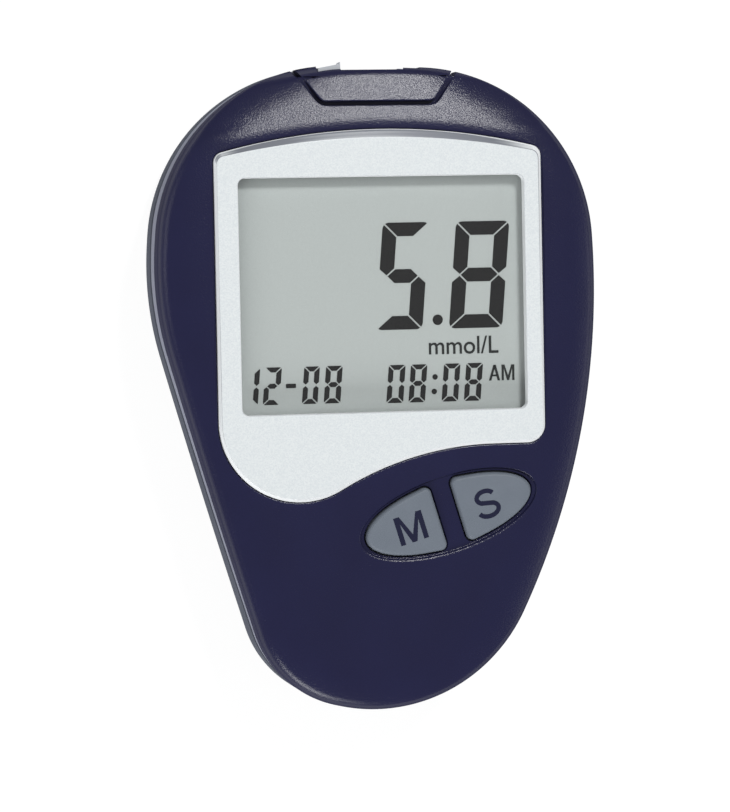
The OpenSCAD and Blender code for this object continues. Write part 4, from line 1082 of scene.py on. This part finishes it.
def coil_group():
    """A compression spring: a tapering spiral with a round wire."""
    tree, given = node_group("tapered_coil", (
        ("Turns", "NodeSocketFloat", 4.0), ("Base Radius", "NodeSocketFloat", 3.6 * MM),
        ("Tip Radius", "NodeSocketFloat", 2.2 * MM), ("Length", "NodeSocketFloat", 4 * MM),
        ("Wire Radius", "NodeSocketFloat", 0.3 * MM), ("Material", "NodeSocketMaterial", None)))
    spiral = add(tree, "GeometryNodeCurveSpiral", {
        "Resolution": 40, "Rotations": given["Turns"], "Start Radius": given["Base Radius"],
        "End Radius": given["Tip Radius"], "Height": given["Length"]})
    wire = add(tree, "GeometryNodeCurvePrimitiveCircle", {
        "Resolution": 10, "Radius": given["Wire Radius"]})
    tube = add(tree, "GeometryNodeCurveToMesh", {
        "Curve": spiral.outputs[0], "Profile Curve": wire.outputs[0], "Fill Caps": True})
    smooth_tube = add(tree, "GeometryNodeSetShadeSmooth", {"Geometry": tube.outputs[0]})
    return end_group(tree, smooth_tube.outputs[0], given["Material"])


def copies_group():
    """Copies of one object on every point."""
    tree, given = node_group("copies_on_points", (
        ("Piece", "NodeSocketObject", None), ("Material", "NodeSocketMaterial", None)))
    source = add(tree, "GeometryNodeObjectInfo", {"Object": given["Piece"]})
    spread = add(tree, "GeometryNodeInstanceOnPoints", {
        "Points": given["Geometry"], "Instance": source.outputs["Geometry"]})
    return end_group(tree, spread.outputs[0], given["Material"])


def copied(name, source, material, slot, node, places):
    """One piece of copies of a source object, which is then removed."""
    piece = grown(name, copies_group(), {"Piece": source, "Material": material},
                  [(*at, 0) for at in places])
    bpy.data.objects.remove(source)
    return shown(piece, material, slot, node)


def battery_springs():
    tree = coil_group()
    both = bmesh.new()
    for x, y, turn in ((BAY_X - CELL_X, BAY_Y + 1.0, -1), (BAY_X + CELL_X, BAY_END_Y - 1.0, 1)):
        coil = grown("coil", tree, {"Length": 3.9 * MM, "Material": STEEL})
        coil.data.transform(Matrix.Translation((x * MM, y * MM, CELL_Z * MM))
                            @ Matrix.Rotation(turn * QUARTER_TURN, 4, "X")
                            @ Matrix.Translation((0, 0, 0.3 * MM)))
        both.from_mesh(coil.data)
        bpy.data.objects.remove(coil)
    mesh = bpy.data.meshes.new("battery_springs_wire")
    both.to_mesh(mesh)
    both.free()
    all_smooth(recalculated(mesh))
    return shown(put("battery_springs_wire", mesh), STEEL, "steel", "battery_springs")


def case_screws():
    """Pan-head screws with a tapering cross recess, in their wells in the back cover."""
    low, end = SCREW_SEAT - 1.5, SCREW_SEAT + 10.6
    screw = lathe("screw", [
        (0, low), (0.9, low), (1.5, low + 0.12), (1.8, low + 0.4), (SCREW_HEAD_R, low + 0.7),
        (SCREW_HEAD_R, SCREW_SEAT), (SCREW_R, SCREW_SEAT), (SCREW_R, SCREW_SEAT + 10.2),
        (0.6, end), (0, end)], 40)
    for turn in (0, 90):
        blade = loft("blade", [ring(rounded_rect(2.0, 0.5, 0.1, steps=2), low - 0.1),
                               ring(rounded_rect(1.2, 0.4, 0.1, steps=2), low + 0.8)])
        blade.data.transform(Matrix.Rotation(math.radians(turn), 4, "Z"))
        carve(screw, [blade])
    return copied("case_screws_set", smooth(screw), STEEL, "steel", "case_screws", SCREWS)


def rubber_feet():
    """Round feet with a softened edge and a slightly hollow sole."""
    foot = lathe("foot", [
        (0, 0.04), (1.6, 0.02), (2.0, 0), (FOOT_R - 0.3, 0.0), (FOOT_R - 0.1, 0.08),
        (FOOT_R, 0.28), (FOOT_R, FOOT_H), (0, FOOT_H)], 56)
    return copied("rubber_feet_set", smooth(foot), RUBBER, "foot_rubber", "rubber_feet", FEET)


def cell_jacket(name, plus_y, way):
    """Printed foil jacket: pale with a blue band and line towards the plus end, bare nickelled
    steel at both ends. Distances are in mm from the plus end."""
    material, tree, place = new_material(name)
    y = add(tree, "ShaderNodeSeparateXYZ", {"Vector": place}).outputs["Y"]
    along = add(tree, "ShaderNodeMath", {0: y, 1: plus_y * MM}, operation="SUBTRACT")
    along = add(tree, "ShaderNodeMath", {
        0: along.outputs[0], 1: -way / MM}, operation="MULTIPLY").outputs[0]
    past = {mm: add(tree, "ShaderNodeMath", {0: along, 1: mm}, operation="GREATER_THAN").outputs[0]
            for mm in (1.9, 13.5, 14.4, 15.0, CELL_L - 0.55)}
    line = add(tree, "ShaderNodeMath", {0: past[14.4], 1: past[15.0]}, operation="SUBTRACT")
    printed = add(tree, "ShaderNodeMath", {
        0: past[1.9], 1: past[CELL_L - 0.55]}, operation="SUBTRACT").outputs[0]
    blue = linear("#2d5d96")
    band = add(tree, "ShaderNodeMix", {0: past[13.5], 6: blue, 7: linear("#dfe3e7")},
               data_type="RGBA")
    lined = add(tree, "ShaderNodeMix", {0: line.outputs[0], 6: band.outputs[2], 7: blue},
                data_type="RGBA")
    colour = add(tree, "ShaderNodeMix", {0: printed, 6: linear("#c9cbce"), 7: lined.outputs[2]},
                 data_type="RGBA")
    metal = add(tree, "ShaderNodeMath", {0: 1.0, 1: printed}, operation="SUBTRACT").outputs[0]
    wrinkle_mm = 0.8
    wrinkles = add(tree, "ShaderNodeTexNoise", {"Vector": place, "Scale": 1 / (wrinkle_mm * MM)})
    bump = add(tree, "ShaderNodeBump", {
        "Strength": 0.3, "Distance": 0.01 * MM, "Height": wrinkles.outputs["Fac"]})
    shader = add(tree, "ShaderNodeBsdfPrincipled", {
        "Base Color": colour.outputs[2], "Metallic": metal, "Roughness": 0.32,
        "Normal": bump.outputs["Normal"]})
    add(tree, "ShaderNodeOutputMaterial", {"Surface": shader.outputs["BSDF"]})
    return material


def cell(name, side, node):
    """An AAA cell with its button, jacket edges and polarity marks that face the door."""
    r, length = CELL_D / 2, CELL_L
    x = BAY_X + side * CELL_X
    flat_y = BAY_Y + 0.6 + 5 if side < 0 else BAY_Y + 1.0 + length
    way = 1 if side < 0 else -1
    # (radius, distance from the flat end): flat end, jacket, shoulder and button
    profile = [
        (0, 0), (r - 1.4, 0), (r - 1.2, 0.12), (r - 0.9, 0.12), (r - 0.7, 0), (r - 0.4, 0.06),
        (r - 0.12, 0.3), (r, 0.6), (r, length - 2.0), (r - 0.08, length - 1.8),
        (r - 0.3, length - 1.6), (r - 0.7, length - 1.45), (r - 1.1, length - 1.3),
        (r - 1.6, length - 1.2), (2.3, length - 1.1), (1.9, length - 1.0), (1.9, length - 0.3),
        (1.75, length - 0.08), (1.5, length), (0, length)]
    piece = lathe(name, [(a, flat_y + way * h) for a, h in profile], 72, (x, 0, CELL_Z), "Y")
    plus_y = flat_y + way * length
    shown(smooth(piece, 40), cell_jacket(name + "_foil", plus_y, way), "cell_jacket", node)

    def skin(p):
        return CELL_Z - np.sqrt(r * r - (p[:, 0] - x) ** 2) - 0.02
    plus, minus = (x, plus_y - way * 7.5), (x, flat_y + way * 5.5)
    for mark, size, at, finish in (
            ("_plus", (3.2, 0.8), plus, WHITE_POM), ("_plus_bar", (0.8, 3.2), plus, WHITE_POM),
            ("_minus", (3.2, 0.8), minus, LEGEND)):
        outline = rounded_rect(*size, 0.1, at, 2)
        shown(thin_solid(name + mark, [outline], skin, 0.025, 3), finish, "cell_jacket")


key("mode_key_cap", -1, "mode_button", "mode_key", "M")
key("set_key_cap", 1, "set_button", "set_key", "S")
front_cover()
port_cover()
strip_bezel()
side_band()
back_cover()
face_plate()
battery_door()
battery_springs()
case_screws()
rubber_feet()
cell("left_cell_can", -1, "cell_left")
cell("right_cell_can", 1, "cell_right")
display()

# the CAD nodes that are shown as they are
FINISHES = {
    "window_lens": ACRYLIC, "lcd_panel": FILM, "lcd_backing": WHITE_FILM,
    "lcd_holder": WHITE_POM, "contact_strips": ELASTOMER, "circuit_board": BOARD,
    "controller_chip": EPOXY, "board_parts": CERAMIC, "crystal_can": STEEL, "buzzer": BRASS,
    "board_screws": STEEL, "strip_socket": WHITE_POM, "strip_contacts": GOLD,
    "mode_switch": STEEL, "set_switch": STEEL, "mode_plunger": EPOXY, "set_plunger": EPOXY,
    "battery_contacts": STEEL,
}
for node_name, finish in FINISHES.items():
    nodes[node_name].data.materials.clear()
    nodes[node_name].data.materials.append(finish)


# ---------------------------------------------------------------- studio, in metres

def floor_white():
    """White floor: it glows for the camera and in mirrors, and still takes the object's shadow."""
    material, tree, _ = new_material("studio_floor_white")
    path = add(tree, "ShaderNodeLightPath").outputs
    seen = add(tree, "ShaderNodeMath", {
        0: path["Is Camera Ray"], 1: path["Is Glossy Ray"]}, operation="MAXIMUM")
    seen = add(tree, "ShaderNodeMath", {
        0: seen.outputs[0], 1: path["Is Transmission Ray"]}, operation="MAXIMUM")
    share = add(tree, "ShaderNodeMath", {0: seen.outputs[0], 1: 0.8}, operation="MULTIPLY")
    matte = add(tree, "ShaderNodeBsdfDiffuse", {"Color": linear("#f2f2f2")})
    glow = add(tree, "ShaderNodeEmission", {"Color": linear("#ffffff"), "Strength": 1.12})
    mix = add(tree, "ShaderNodeMixShader", {
        0: share.outputs[0], 1: matte.outputs[0], 2: glow.outputs[0]})
    add(tree, "ShaderNodeOutputMaterial", {"Surface": mix.outputs[0]})
    return material


def lamp(name, toward, size, radiance):
    """A soft box that faces the object from a direction."""
    light = bpy.data.lights.new(name, "AREA")
    light.shape = "RECTANGLE"
    light.size, light.size_y = size
    light.energy = radiance * size[0] * size[1] * math.pi
    made = put(name, light)
    direction = Vector(toward).normalized()
    made.location = direction * 1.6
    made.rotation_euler = direction.to_track_quat("Z", "Y").to_euler()


def studio():
    mesh = bpy.data.meshes.new("floor")
    half = 4.0
    mesh.from_pydata([(-half, -half, 0), (half, -half, 0), (half, half, 0), (-half, half, 0)], [],
                     [(0, 1, 2, 3)])
    mesh.materials.append(floor_white())
    put("studio_floor", mesh)
    world = bpy.data.worlds.new("studio")
    world.use_nodes = True
    world.node_tree.nodes.clear()
    back = add(world.node_tree, "ShaderNodeBackground", {
        "Color": linear("#ffffff"), "Strength": 0.3})
    add(world.node_tree, "ShaderNodeOutputWorld", {"Surface": back.outputs[0]})
    scene.world = world
    # the key's direction is the one that the ramp mirrors to the camera
    lamp("key_softbox", (0.206, 0.50, 0.841), (0.27, 0.27), 52)
    lamp("fill_front", (-0.3, -0.85, 0.42), (0.9, 0.6), 8.5)
    lamp("fill_left", (-0.85, 0.1, 0.5), (0.9, 0.6), 1.5)
    lamp("fill_right", (0.88, -0.15, 0.45), (0.9, 0.6), 1.2)


def camera():
    """The photograph's viewpoint: nearly overhead, a little left, from about half a metre."""
    ay, ax, roll = (math.radians(a) for a in (-11.571, -2.460, -1.122))
    turn = (Matrix.Rotation(ay, 3, "Y") @ Matrix.Rotation(ax, 3, "X")
            @ Matrix.Rotation(roll, 3, "Z"))
    target, distance = Vector((1.233, -3.305, 0)) * MM, 516.2 * MM
    focal_px, photo_h_px = 3500, 812
    data = bpy.data.cameras.new("camera")
    data.sensor_width = 36
    data.lens = focal_px * data.sensor_width / photo_h_px
    data.clip_start, data.clip_end = 0.01, 50
    made = put("camera", data)
    made.matrix_world = Matrix.Translation(target + turn.col[2] * distance) @ turn.to_4x4()
    scene.camera = made


studio()
camera()
scene.view_settings.view_transform = "Standard"
